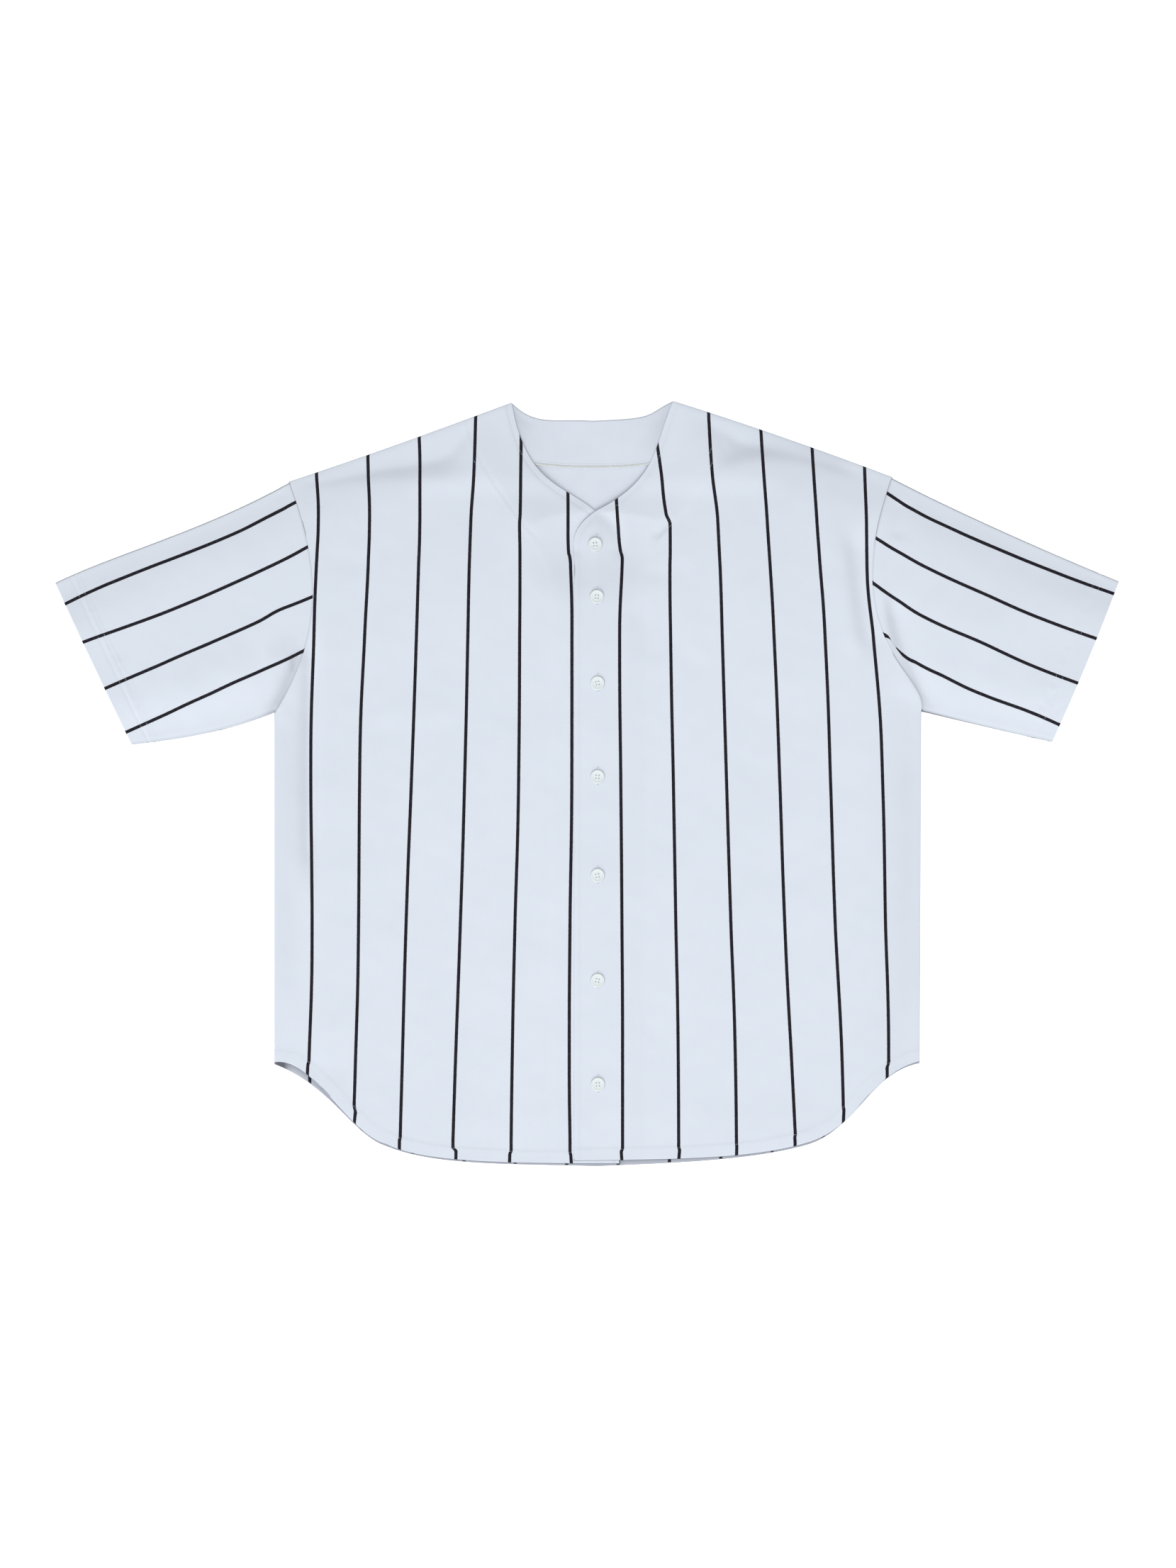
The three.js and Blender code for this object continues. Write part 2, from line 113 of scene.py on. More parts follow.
rounded_corner = Edge(curve([(0, 0), (10, 0), (10, 10)]))
print("a curve drawn towards a corner 10 mm off, mm long:", round(rounded_corner.length, 1))

# %% [markdown]
# The cloth between four edges is a patch: it blends the edge above with the edge below, and the edge
# on one side with the edge on the other. Its rows then follow the hem at the bottom and the shoulder
# at the top, as the rows of a stretched net would, which puts fine rows where hems are sewn.


# %% Patches of cloth
def patch(bottom, top, start, end, across, up):
    """Places between four edges, at shares across and up: rows of places."""
    u, v = np.meshgrid(across, up)
    u1, v1 = u[..., None], v[..., None]
    between_rows = (1 - v1) * bottom(u) + v1 * top(u)
    between_sides = (1 - u1) * start(v) + u1 * end(v)
    low = (1 - u1) * bottom(0.0) + u1 * bottom(1.0)
    high = (1 - u1) * top(0.0) + u1 * top(1.0)
    return between_rows + between_sides - (1 - v1) * low - v1 * high


def spaced(length, step, fine_start=0.0, fine_end=0.0, fine_step=1.2):
    """Shares from 0 to 1 of a length, closer together near its start and its end."""
    starts = np.arange(0, fine_start, fine_step)
    ends = length - np.arange(0, fine_end, fine_step)
    count = round((length - fine_start - fine_end) / step) + 1
    middle = np.linspace(fine_start, length - fine_end, count)
    return np.unique((np.concatenate([starts, middle, ends]) / length).round(6))


print("shares of a 30 mm strip, finer at its end:", spaced(30, 6, 0, 4).round(2))

# %% [markdown]
# The outline of each half, as distances from the middle of the chest. The two halves differ, because
# the photographed jersey was laid out by hand. The corners and control points are the solids' own,
# but for the fronts' hem, which lies a little higher, so that the back's hem shows below it.

# %% The jersey's outline
RIGHT = {
    "sign": -1,
    "neck": (83, 743), "shoulder": (300, 666), "armpit": (314, 441), "hem": (314, 101),
    "cuff_top": (528, 568), "cuff_bottom": (453, 409.5),
    "shoulder_bow": [(200, 699)], "armhole_bow": [(261, 565), (274, 505)],
    "sleeve_top_bow": [(386, 618), (468, 597.5)], "underarm_bow": [(367, 418)],
    "cuff_bow": [(491, 488.5)],
    "hem_bow": [(276, 107), (241, 30)], "hem_bend": (205, 20.5),
    "hem_flat_bow": [(169, 2), (85, 1.7)], "hem_rise": 1.7,
    "back_neck_bow": [(60, 719.5), (41, 728)],
    "back_hem_bow": [(259, 79), (237, 29)], "back_hem_flat_bow": [(158, 0), (83, 2.5)],
    "neckline_end": (2.3, 638.4), "neckline_bow": [(34.5, 664.5), (69, 663.5)],
}
LEFT = {
    "sign": 1,
    "neck": (74, 744.5), "shoulder": (287.5, 670.5), "armpit": (315.5, 441.5), "hem": (314, 102),
    "cuff_top": (508.5, 569.5), "cuff_bottom": (443, 412),
    "shoulder_bow": [(181, 711)], "armhole_bow": [(227, 505), (327, 480)],
    "sleeve_top_bow": [(346.5, 639.5), (437, 599)], "underarm_bow": [(378, 426)],
    "cuff_bow": [(479, 492)],
    "hem_bow": [(263, 89), (257, 39)], "hem_bend": (205, 22),
    "hem_flat_bow": [(154.5, 6.5), (82.5, 5.5)], "hem_rise": 4.5,
    "back_neck_bow": [(45, 731), (62, 728)],
    "back_hem_bow": [(265.5, 91), (251, 34.5)], "back_hem_flat_bow": [(153, 6), (80, 3.3)],
    "neckline_end": (0, 638.5), "neckline_bow": [(60.5, 668.5), (55.5, 703)],
}
SIDES = {"right": RIGHT, "left": LEFT}
NECK_DIP = (-4.5, 725.5)
BACK_HEM_CORNER_DROP = 1.8
BACK_HEM_BEND_DROP = 1.0
FRONT_HEM_LIFT = 1.1
PLACKET_EDGE = 22.5
PLACKET_TOP_Y = 600.0
PLACKET_CORNER_BOW = [(-25, 616.6), (-15.3, 628.3)]
print("width across the cuffs, mm:", RIGHT["cuff_top"][0] + LEFT["cuff_top"][0])

# %% [markdown]
# From the corners come the edges, each with a maker's name for it. A seam that is walked both ways,
# such as the armhole, is drawn from the same points in both, so that the pieces meet along it.


# %% The edges of both halves
def on_side(side, *points):
    return curve([(side["sign"] * x, y) for x, y in points])


def draw_edges(side):
    def lifted(point):
        return point[0], point[1] + FRONT_HEM_LIFT

    hem_end = lifted((-PLACKET_EDGE, side["hem_rise"]))
    hem_bend = lifted(side["hem_bend"])
    placket_top = (-PLACKET_EDGE, PLACKET_TOP_Y)
    back_hem = (side["hem"][0], side["hem"][1] - BACK_HEM_CORNER_DROP)
    back_bend = (side["hem_bend"][0], side["hem_bend"][1] - BACK_HEM_BEND_DROP)
    dip = (side["sign"] * NECK_DIP[0], NECK_DIP[1])
    runs = {
        "shoulder_seam": [[side["shoulder"], *side["shoulder_bow"], side["neck"]]],
        "armhole": [[side["shoulder"], *side["armhole_bow"], side["armpit"]]],
        "armhole_up": [[side["armpit"], *side["armhole_bow"][::-1], side["shoulder"]]],
        "sleeve_top": [[side["shoulder"], *side["sleeve_top_bow"], side["cuff_top"]]],
        "underarm": [[side["armpit"], *side["underarm_bow"], side["cuff_bottom"]]],
        "cuff": [[side["cuff_top"], *side["cuff_bow"], side["cuff_bottom"]]],
        "side_seam": [[side["hem"], side["armpit"]]],
        "front_hem": [[side["hem"], *side["hem_bow"], hem_bend],
                      [hem_bend, *map(lifted, side["hem_flat_bow"]), hem_end]],
        "placket": [[hem_end, placket_top]],
        "neckline": [[placket_top, *PLACKET_CORNER_BOW, side["neckline_end"]],
                     [side["neckline_end"], *side["neckline_bow"], side["neck"]]],
        "back_side": [[back_hem, side["armpit"]]],
        "back_hem": [[back_hem, *side["back_hem_bow"], back_bend],
                     [back_bend, *side["back_hem_flat_bow"], (0, 0)]],
        "back_neck": [[side["neck"], *side["back_neck_bow"], dip]],
    }
    return {name: Edge(*[on_side(side, *run) for run in edge]) for name, edge in runs.items()}


EDGES = {name: draw_edges(side) for name, side in SIDES.items()}
for name, edges in EDGES.items():
    print(name, "edges, mm:", {key: round(edge.length) for key, edge in edges.items()})

# %% [markdown]
# A laid-out garment isn't flat paper. The layers come together at the seams and folded edges, and puff up a
# few millimetres between them, and smoothing by hand leaves long soft folds. Each fold here is a line with
# a height and a width on either side of it, so that one flank can be steep and the other soft. A drop is a
# line beyond which the cloth stays lower. They are placed from the photograph, because a cloth simulation
# would put its own folds elsewhere.

# %% The folds' places
FOLDS = [
    # places along the line, height, and widths to the left and right of its direction
    ([(-297, 480), (-299, 370), (-298, 265)], 0.9, 9, 12),
    ([(-272, 530), (-277, 400), (-277, 265)], -3.4, 5, 9),
    ([(231, 630), (240, 565), (252, 490)], 0.9, 10, 14),
    ([(251, 628), (259, 560), (271, 485)], -1.3, 11, 10),
    ([(-283, 502), (-292, 478), (-318, 430)], 0.9, 14, 7),
    ([(287, 560), (297, 510), (330, 440)], -1.3, 14, 6),
    ([(-308.5, 666), (-311, 650)], -1.1, 3, 3),
    ([(-330, 495), (-420, 455)], 0.8, 24, 24),
    ([(297, 650), (291, 608)], -0.8, 9, 7),
    ([(318, 560), (400, 505)], 0.7, 26, 26),
    ([(-306, 104), (-282, 92)], 0.5, 18, 14),
    ([(54, 611), (62, 617), (74, 630)], -0.9, 7, 3),
    ([(44, 585), (62, 576), (92, 588)], -0.5, 8, 12),
    ([(34, 575), (40, 530), (66, 486)], -0.45, 12, 14),
    ([(33, 555), (110, 466)], -0.35, 14, 18),
    ([(130, 397), (185, 376)], -0.3, 12, 16),
    ([(-275, 596), (-222, 588), (-196, 616)], -0.35, 10, 14),
    ([(-230, 424), (-132, 424)], -0.35, 10, 16),
    ([(-280, 93), (-236, 93)], -0.4, 14, 16),
    ([(-443, 449), (-425, 436)], -0.4, 12, 12),
    ([(437, 460), (452, 440)], -0.4, 14, 12),
]
DROPS = [
    # places along a crease, the fall above it, and the length over which the cloth falls
    ([(-118, 668), (-215, 668), (-296, 658)], -3.7, 19),
    ([(120, 674), (180, 686), (266, 666)], -2.2, 19),
]
print("folds:", len(FOLDS), "and drops:", len(DROPS))

# %% [markdown]
# Every soft form on the cloth is measured from a line, be it a fold, a seam or a row of stitches.
# `from_line` works out how far all points lie from it at once, on arrays, which is much faster in
# Python than a loop over the points.


# %% Distances from a line
def smooth(share):
    share = np.clip(share, 0, 1)
    return share * share * (3 - 2 * share)


def from_line(place, line):
    """Distance from a line of places, above 0 on its left, and the share along it."""
    best = np.full(place.shape[:-1], np.inf)
    signed = np.zeros(place.shape[:-1])
    along = np.zeros(place.shape[:-1])
    steps = np.diff(line, axis=0)
    lengths = np.linalg.norm(steps, axis=1)
    walked = 0.0
    for start, step, length in zip(line, steps, lengths):
        offset = place - start
        share = np.clip((offset @ step) / length**2, 0, 1)
        away = np.linalg.norm(offset - share[..., None] * step, axis=-1)
        turn = step[0] * offset[..., 1] - step[1] * offset[..., 0]
        nearer = away < best
        best = np.where(nearer, away, best)
        signed = np.where(nearer, np.where(turn >= 0, away, -away), signed)
        along = np.where(nearer, (walked + share * length) / lengths.sum(), along)
        walked += length
    return signed, along


def through(places):
    """A smooth line that passes through two or three places."""
    if len(places) == 2:
        return curve(places, 2)
    start, middle, end = (np.array(place, float) for place in places)
    return curve([start, 2 * middle - (start + end) / 2, end], 9)


beside_line = from_line(np.array([[-2.0, 5.0], [3.0, 5.0]]), np.array([[0.0, 0.0], [0.0, 10.0]]))
print("2 mm to the left of a line and 3 mm to its right:", beside_line[0])

# %% [markdown]
# A fold falls off softly on both flanks and fades out at its ends. A bump in the finish could pretend that,
# but heights worked out here become real shape, which is right from every side.

# %% The folds' heights
CREASE_WIDTH = 2.2
FADE = 0.22
OVERFLOW_GUARD = 30


def bands(place, table):
    """The sum of soft bands along lines, each with its amount and its two widths."""
    total = np.zeros(place.shape[:-1])
    for places, amount, left_width, right_width in table:
        away, along = from_line(place, through(places))
        away = away / np.where(away > 0, left_width, right_width)
        total += amount * np.exp(-away * away) * smooth(along / FADE) * smooth((1 - along) / FADE)
    return total


def fold_height(place):
    total = bands(place, FOLDS)
    for places, fall, length in DROPS:
        away, along = from_line(place, through(places))
        above = away if places[0][0] > 0 else -away
        steep = np.clip(above / CREASE_WIDTH, -OVERFLOW_GUARD, OVERFLOW_GUARD)
        beyond = CREASE_WIDTH * np.log1p(np.exp(steep))
        ends = smooth(along / FADE) * smooth((1 - along) / FADE)
        total += fall * (1 - np.exp(-beyond / length)) * ends
    return total


shoulder_check = np.array([[180.0, 660.0], [180.0, 700.0], [-200.0, 650.0], [-200.0, 690.0]])
print("fold height below and above the two shoulder drops, mm:", fold_height(shoulder_check).round(2))

# %% [markdown]
# Layers of thin cloth that lie close together lose light between them: in the valleys down the sides,
# across the shoulders, and where a sleeve tucks in at the armpit. Folds of a millimetre or two hardly show
# that in even light, so that shade is painted on the cloth in the same kind of soft bands, and in two broad
# bands across the chest and along the hem. It is stored on the points of the mesh, so it stays where it is
# from wherever it is seen.

# %% Soft shade in the folds
SHADES = [
    # places along the line, how much shade is painted, and widths to the left and right of its direction
    ([(-283, 525), (-284, 410), (-283, 275)], 0.12, 3, 8),
    ([(-302, 530), (-303, 330), (-302, 130)], 0.055, 14, 14),
    ([(302, 440), (303, 300), (302, 130)], 0.04, 14, 14),
    ([(-330, 610), (0, 640), (330, 610)], 0.025, 80, 90),
    ([(-330, 60), (0, 0), (330, 60)], 0.02, 60, 60),
    ([(-100, 678), (-200, 679), (-310, 658)], 0.05, 6, 9),
    ([(104, 673), (176, 696), (258, 668)], 0.12, 10, 7),
    ([(242, 625), (249, 564), (260, 490)], 0.05, 5, 6),
    ([(-289, 508), (-302, 471), (-323, 430)], 0.14, 3.5, 6),
    ([(-297.5, 501), (-296, 478)], 0.12, 3, 3),
    ([(-324, 498), (-288, 513)], 0.05, 10, 10),
    ([(281, 560), (284, 530), (293, 496)], 0.13, 7, 3),
    ([(68, 622), (64, 616), (58, 609)], 0.08, 1.6, 1.6),
]
print("soft shades:", len(SHADES))

# %% [markdown]
# Between the layers is air. It is thin at every seam and folded edge, where both layers come
# together, pressed down round the neck, a little less deep at the open hem, and held up where the
# facing lies underneath. A few long random waves stand in for the slight unevenness that smoothing by
# hand leaves.

# %% Air between the layers
CLOTH = 1.2
SEWN_GAP = 0.04
LAYER_GAP = 0.3
SEWN_RUN = 4.0
LOFT = 3.5
LOFT_RUN = 29.0
FOLD_RUN = 9.0
FREE_EDGE_RUN = 55.0
FREE_EDGE_LOFT = 0.8
NECK_LOFT = 0.03
NECK_RUN = 55.0
NECK_PRESS = 0.22
NECK_PRESS_RUN = 6.0
FACING_CLOTH = 1.0
FACING_BOTTOM_Y = 679.3
FACING_HALF_WIDTH = 190.0
FACING_SIDE_RUN = 40.0
FACING_LEAD = 32.0
FACING_LEAD_RUN = 26.0
WAVE_COUNT = 9
WAVE_STRETCH = (0.7, 1.6)
UNEVEN = [(0.16, 90, 3), (0.05, 34, 5)]  # the waves' height, length and seed
CLOSED_EDGES = [
    edges[key].at(np.linspace(0, 1, 24))
    for edges in EDGES.values() for key in ("shoulder_seam", "sleeve_top", "underarm", "side_seam")]
NECKLINES = [edges["neckline"].at(np.linspace(0, 1, 24)) for edges in EDGES.values()]


def nearest(place, lines):
    """Distance to the nearest of some lines."""
    return np.min([np.abs(from_line(place, line)[0]) for line in lines], axis=0)


def waves(place, size, seed):
    """Soft random waves about a size long, mostly between -1 and 1."""
    random = np.random.default_rng(seed)
    total = np.zeros(place.shape[:-1])
    least, most = WAVE_STRETCH
    for _ in range(WAVE_COUNT):
        angle, stretch, phase = random.uniform((0, least, 0), (math.pi, most, 2 * math.pi))
        along = place[..., 0] * math.cos(angle) + place[..., 1] * math.sin(angle)
        total += np.sin(2 * math.pi * along / (size * stretch) + phase)
    return total / math.sqrt(WAVE_COUNT)


def air(place):
    over_facing = smooth((FACING_HALF_WIDTH - np.abs(place[..., 0] - NECK_DIP[0])) / FACING_SIDE_RUN)
    above_facing_edge = place[..., 1] - FACING_BOTTOM_Y + FACING_LEAD
    over_facing = over_facing * smooth(above_facing_edge / FACING_LEAD_RUN)
    distance = nearest(place, CLOSED_EDGES)
    away = distance / LOFT_RUN
    held = SEWN_GAP + (LAYER_GAP - SEWN_GAP) * smooth(distance / SEWN_RUN)
    held = held + (FACING_CLOTH + LAYER_GAP) * over_facing
    held = held - NECK_PRESS * np.exp(-((nearest(place, NECKLINES) / NECK_PRESS_RUN) ** 2))
    near_hem = FREE_EDGE_LOFT + (1 - FREE_EDGE_LOFT) * smooth(place[..., 1] / FREE_EDGE_RUN)
    near_neck = NECK_LOFT + (1 - NECK_LOFT) * smooth(nearest(place, NECKLINES) / NECK_RUN)
    uneven = sum(height * waves(place, size, seed) for height, size, seed in UNEVEN)
    puff = LOFT * near_hem * (1 - np.exp(-away * away)) + uneven * smooth(away)
    puff = puff + fold_height(place) * smooth(distance / FOLD_RUN)
    return held + np.maximum(puff, 0) * near_neck


print("air at mid front, at the side and at the hem, mm:",
      air(np.array([[100.0, 300.0], [310.0, 300.0], [100.0, 8.0]])).round(2))

# %% [markdown]
# A hem is cloth turned up once and stitched, so it is a little thicker as far as its stitches, and
# the stitches pull a groove into it with small puckers. Sculpting would do for one hem, but `turned`
# gives that relief by the distance from the edge, so that one function serves hems, cuffs, the
# placket and the neckline.

# %% Turned and stitched edges
TURNED = 0.3
TURNED_SLOPE = 1.6
GROOVE_WIDTH = 1.2
PUCKER_RUN = 5.0
PUCKER_BEAT = 1.7
HEM = {"depth": 12.5, "rows": (11.0,), "groove": 0.03, "pucker": 0.015, "thicker": 0.2}
CUFF = {"depth": 25.0, "rows": (16.5, 22.8), "groove": 0.25, "pucker": 0.04}


def turned(place, edge, depth, rows, groove, pucker=0.0, pucker_length=8.0, thicker=TURNED):
    away, along = from_line(place, edge.at(np.linspace(0, 1, 60)))
    away = np.abs(away)
    relief = thicker * smooth((depth - away) / TURNED_SLOPE + 0.5)
    for row in rows:
        off = (away - row) / GROOVE_WIDTH
        relief = relief - groove * np.exp(-off * off)
    turns = 2 * math.pi * along * edge.length / pucker_length
    beside_rows = np.exp(-(((away - rows[-1]) / PUCKER_RUN) ** 2))
    uneven = np.sin(turns) + np.sin(turns / PUCKER_BEAT + 1)
    return relief + pucker * uneven * beside_rows


print("hem relief 2, 11 and 20 mm in:", turned(
    np.array([[100.0, 7.7], [100.0, 16.7], [100.0, 25.7]]), EDGES["left"]["front_hem"], **HEM).round(2))

# %% [markdown]
# The pinstripes are printed on the cloth's face before it is cut. Laid out, they wander with the
# cloth, so each stripe has a row in a table of where it crosses a few heights. From the table each
# point of cloth gets its place across the print, counted in stripes: a stripe lies wherever the count
# is whole. The local distance between stripes is kept too, so that all come out as wide.

# %% Where the pinstripes lie
STRIPE_PITCH = 50.0
STRIPE_HEIGHTS = [25, 100, 238, 376, 514, 583, 592, 598, 624, 634, 673, 728]
FRONT_STRIPES = {
    "right": [
        [-282.2, -280.1, -277.0, -278.4, -275.3, -272.9, -272.4, -272.1, -271.0, -270.9, -272.9, -274.6],
        [-237.4, -234.9, -231.8, -230.8, -226.0, -222.5, -222.2, -221.9, -221.2, -221.1, -222.5, -223.6],
        [-191.5, -189.4, -185.6, -180.4, -175.6, -173.5, -173.2, -172.9, -172.3, -172.2, -172.2, -173.9],
        [-140.1, -137.7, -132.8, -128.7, -125.6, -124.2, -123.9, -123.7, -122.8, -122.4, -119.7, -118.0],
        [-83.5, -82.5, -79.7, -76.2, -75.2, -74.9, -74.9, -74.9, -75.3, -74.7, -74.2, -73.5],
        [-26.2, -26.9, -26.2, -24.5, -24.4, -25.7, -26.3, -27.8, -28.2, -28.2, -28.6, -29.0],
    ],
    "left": [
        [24.8, 24.8, 24.2, 23.1, 22.0, 24.4, 24.6, 22.9, 20.5, 19.8, 17.9, 16.6],
        [79.4, 79.0, 76.6, 74.2, 71.6, 70.9, 71.1, 71.2, 71.1, 67.3, 62.6, 54.5],
        [135.6, 134.6, 130.1, 125.9, 121.8, 119.7, 119.2, 118.9, 117.6, 117.0, 112.1, 108.7],
        [193.2, 189.4, 182.5, 177.7, 172.2, 168.4, 167.8, 167.4, 165.7, 165.1, 162.2, 158.7],
        [240.1, 238.4, 231.5, 227.0, 221.8, 217.0, 216.3, 215.9, 214.0, 213.4, 210.8, 207.7],
        [283.6, 283.6, 280.5, 277.7, 268.8, 262.5, 262.4, 262.3, 262.0, 261.8, 260.5, 259.4],
    ],
}
# On a sleeve the stripes run from the armhole, 0, to the cuff, 1, at shares of the way down it.
SLEEVE_STATIONS = [0, 0.03, 0.05, 0.12, 0.25, 0.5, 0.75, 1]
SLEEVE_PITCH = 0.36
SLEEVE_STRIPES = {
    "right": [
        [0.090, 0.090, 0.091, 0.092, 0.099, 0.104, 0.114, 0.134],
        [0.280, 0.282, 0.284, 0.289, 0.298, 0.324, 0.351, 0.368],
        [0.487, 0.487, 0.487, 0.487, 0.507, 0.545, 0.596, 0.652],
        [0.713, 0.716, 0.719, 0.727, 0.743, 0.792, 0.855, 0.920],
    ],
    "left": [
        [0.068, 0.072, 0.075, 0.083, 0.089, 0.091, 0.089, 0.080],
        [0.253, 0.258, 0.262, 0.273, 0.292, 0.315, 0.341, 0.355],
        [0.432, 0.442, 0.449, 0.471, 0.509, 0.546, 0.595, 0.630],
        [0.645, 0.657, 0.712, 0.745, 0.778, 0.829, 0.853, 0.888],
    ],
}
print("pinstripes:", {name: len(rows) for name, rows in FRONT_STRIPES.items()})

# %% [markdown]
# Between the rows of a table a smooth line gives the rest, with no wiggles of its own. An image could
# hold the print too, but a count on the mesh's points is sharp at any distance and follows the cloth.

# %% Count the stripes
PITCH_LIMITS = (30, 80)


def eased(knots, values, at):
    """A smooth line through values at knots, read at some places."""
    knots, values = np.array(knots, float), np.array(values, float)
    rises = np.diff(values) / np.diff(knots)
    both = rises[1:] * rises[:-1]
    inner = np.where(both > 0, 2 * both / np.where(both > 0, rises[1:] + rises[:-1], 1), 0)
    slopes = np.concatenate([rises[:1], inner, rises[-1:]])
    at = np.clip(at, knots[0], knots[-1])
    i = np.clip(np.searchsorted(knots, at) - 1, 0, len(knots) - 2)
    run = knots[i + 1] - knots[i]
    t = (at - knots[i]) / run
    leaving = values[i] + run * slopes[i] * t
    arriving = values[i + 1] - run * slopes[i + 1] * (1 - t)
    return leaving + (arriving - leaving) * smooth(t)


def count_stripes(position, stripes, pitch):
    """Each point's place across the print, counted in stripes."""
    lines = [stripes[0] - 2 * pitch, stripes[0] - pitch, *stripes]
    lines += [stripes[-1] + pitch, stripes[-1] + 2 * pitch]
    count = np.zeros(position.shape)
    for i, (low, high) in enumerate(zip(lines, lines[1:])):
        here = (position >= low) & (position < high)
        count = np.where(here, i + (position - low) / (high - low), count)
    return count


def local_pitch(place, count):
    """Millimetres from stripe to stripe, from how fast the count grows over the cloth."""
    down, across = np.gradient(place, axis=0), np.gradient(place, axis=1)
    count_down, count_across = np.gradient(count, axis=0), np.gradient(count, axis=1)
    cell = down[..., 0] * across[..., 1] - down[..., 1] * across[..., 0]
    slope_x = count_down * across[..., 1] - count_across * down[..., 1]
    slope_y = count_across * down[..., 0] - count_down * across[..., 0]
    return np.clip(np.abs(cell) / np.maximum(np.hypot(slope_x, slope_y), 1e-6), *PITCH_LIMITS)


# The values carried on each point: the place across the print, its pitch, the place along the grain, and
# the painted shade.
def cloth_print(place, count, along, painted_shade=0.0):
    painted_shade = np.broadcast_to(painted_shade, count.shape)
    return {"across": count, "pitch": local_pitch(place, count), "along": along, "painted_shade": painted_shade}


chest = np.array([SIDES["left"]["neckline_end"][0], 50.0])
print("places across the print at mid chest and 50 mm on:",
      count_stripes(chest, np.array([25.0, 75.0]), STRIPE_PITCH).round(2))

# %% [markdown]
# Every piece is a mesh of points in metres and of faces that name their points by number. Modifiers
# could thicken a plane, but a hem, a seam and a stitch each need their own thickness, so the points
# come from the plan. Values per point, such as the place across the print, go along as attributes.


# %% Meshes from points
def to_frame(place, height):
    points = np.empty((*place.shape[:-1], 3))
    points[..., :2] = place + PLAN_TO_FRAME
    points[..., 2] = height
    return points * MM


def grid_faces(index):
    """Faces between the rows and columns of a grid of point numbers."""
    corners = (index[:-1, :-1], index[:-1, 1:], index[1:, 1:], index[1:, :-1])
    return np.stack(corners, axis=-1).reshape(-1, 4)


def strips(rings):
    """Faces between closed rings of point numbers, one after the other."""
    return np.concatenate([
        np.stack([a, b, np.roll(b, -1), np.roll(a, -1)], axis=1) for a, b in zip(rings, rings[1:])])


def outward(points, faces):
    """The same faces, turned to face out of the closed mesh."""
    a, b, c, d = (points[faces[:, i]] for i in range(4))
    volume = np.einsum("ij,ij->", a, np.cross(b, c)) + np.einsum("ij,ij->", a, np.cross(c, d))
    return faces if volume > 0 else faces[:, ::-1]


def new_piece(name, points, faces, finishes, face_finish=None, values=None):
    mesh = bpy.data.meshes.new(name)
    mesh.from_pydata(points, [], faces)
    for finish in finishes:
        mesh.materials.append(finish)
    if face_finish is not None:
        mesh.polygons.foreach_set("material_index", np.asarray(face_finish, np.int32))
    for key, numbers in (values or {}).items():
        stored = mesh.attributes.new(key, "FLOAT", "POINT")
        stored.data.foreach_set("value", np.asarray(numbers, np.float32).ravel())
    mesh.shade_smooth()
    mesh.update()
    piece = bpy.data.objects.new(name, mesh)
    bpy.context.collection.objects.link(piece)
    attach(piece, "root")
    return piece


print("faces of a 3 by 4 grid of points:", len(grid_faces(np.arange(12).reshape(3, 4))))

# %% [markdown]
# Cloth is a closed sheet: an outer face, an inner face, and a rounded rim where it is cut or turned.
# `sheet_of_cloth` builds one from the places and heights of its two faces. The border is drawn in by half
# the thickness, so that the rounded rim reaches just as far as the cut. The rims get a little painted
# shade, and a rim that faces the hem gets much more, for the shade a turned edge is in there.

# %% Sheets of cloth
RIM_STEPS = 4
RIM_ANGLES = [math.pi * k / RIM_STEPS for k in range(1, RIM_STEPS)]
# Shade painted on every rim, and much more on rims that face the hem.
RIM_PAINTED_SHADE = 0.06
LOWER_RIM_PAINTED_SHADE = 0.94


def rim_painted_shade(out):
    """How much shade is painted on an edge, by the direction that it faces: most on the edges towards the
    hem.
    """
    return RIM_PAINTED_SHADE + LOWER_RIM_PAINTED_SHADE * np.clip(-out[:, 1], 0, 1)


def sheet_of_cloth(name, place, under, over, finishes, values, upper_finish, lower_finish, rim_finish):
    """A closed sheet. The values and both heights are given at each place."""
    index = np.arange(place[..., 0].size).reshape(place.shape[:2])
    border = np.concatenate([index[0], index[1:, -1], index[-1, -2::-1], index[-2:0:-1, 0]])
    flat, low, high = place.reshape(-1, 2).copy(), under.ravel(), over.ravel()
    ahead, behind = np.roll(flat[border], -1, axis=0), np.roll(flat[border], 1, axis=0)
    turning = np.sign((flat[border][:, 0] * ahead[:, 1] - flat[border][:, 1] * ahead[:, 0]).sum())
    out = turning * np.stack([(ahead - behind)[:, 1], -(ahead - behind)[:, 0]], axis=1)
    out /= np.linalg.norm(out, axis=1)[:, None]
    half = ((high - low) / 2)[border]
    middle = ((high + low) / 2)[border]
    flat[border] -= out * half[:, None]
    rims = [to_frame(flat[border] + out * (half * math.sin(angle))[:, None],
                     middle + half * math.cos(angle)) for angle in RIM_ANGLES]
    points = np.concatenate([to_frame(flat, high), to_frame(flat, low), *rims])
    first = 2 * index.size
    rings = [border]
    rings += [first + len(border) * k + np.arange(len(border)) for k in range(len(rims))]
    rings += [border + index.size]
    upper = grid_faces(index)
    lower = grid_faces(index + index.size)[:, ::-1]
    faces = outward(points, np.concatenate([upper, lower, strips(rings)]))
    face_finish = np.full(len(faces), rim_finish)
    face_finish[:len(upper)] = upper_finish
    face_finish[len(upper):2 * len(upper)] = lower_finish
    painted_rim_shade = rim_painted_shade(out)
    spread = {key: np.concatenate(
        [number.ravel()] * 2 + [np.maximum(number.ravel()[border], painted_rim_shade * (key == "painted_shade"))] * len(rims))
        for key, number in values.items()}
    return new_piece(name, points, faces, finishes, face_finish, spread)


print("a rim's greyness, towards the neck and towards the hem:", rim_painted_shade(np.array([[0, 1.0], [0, -1.0]])))

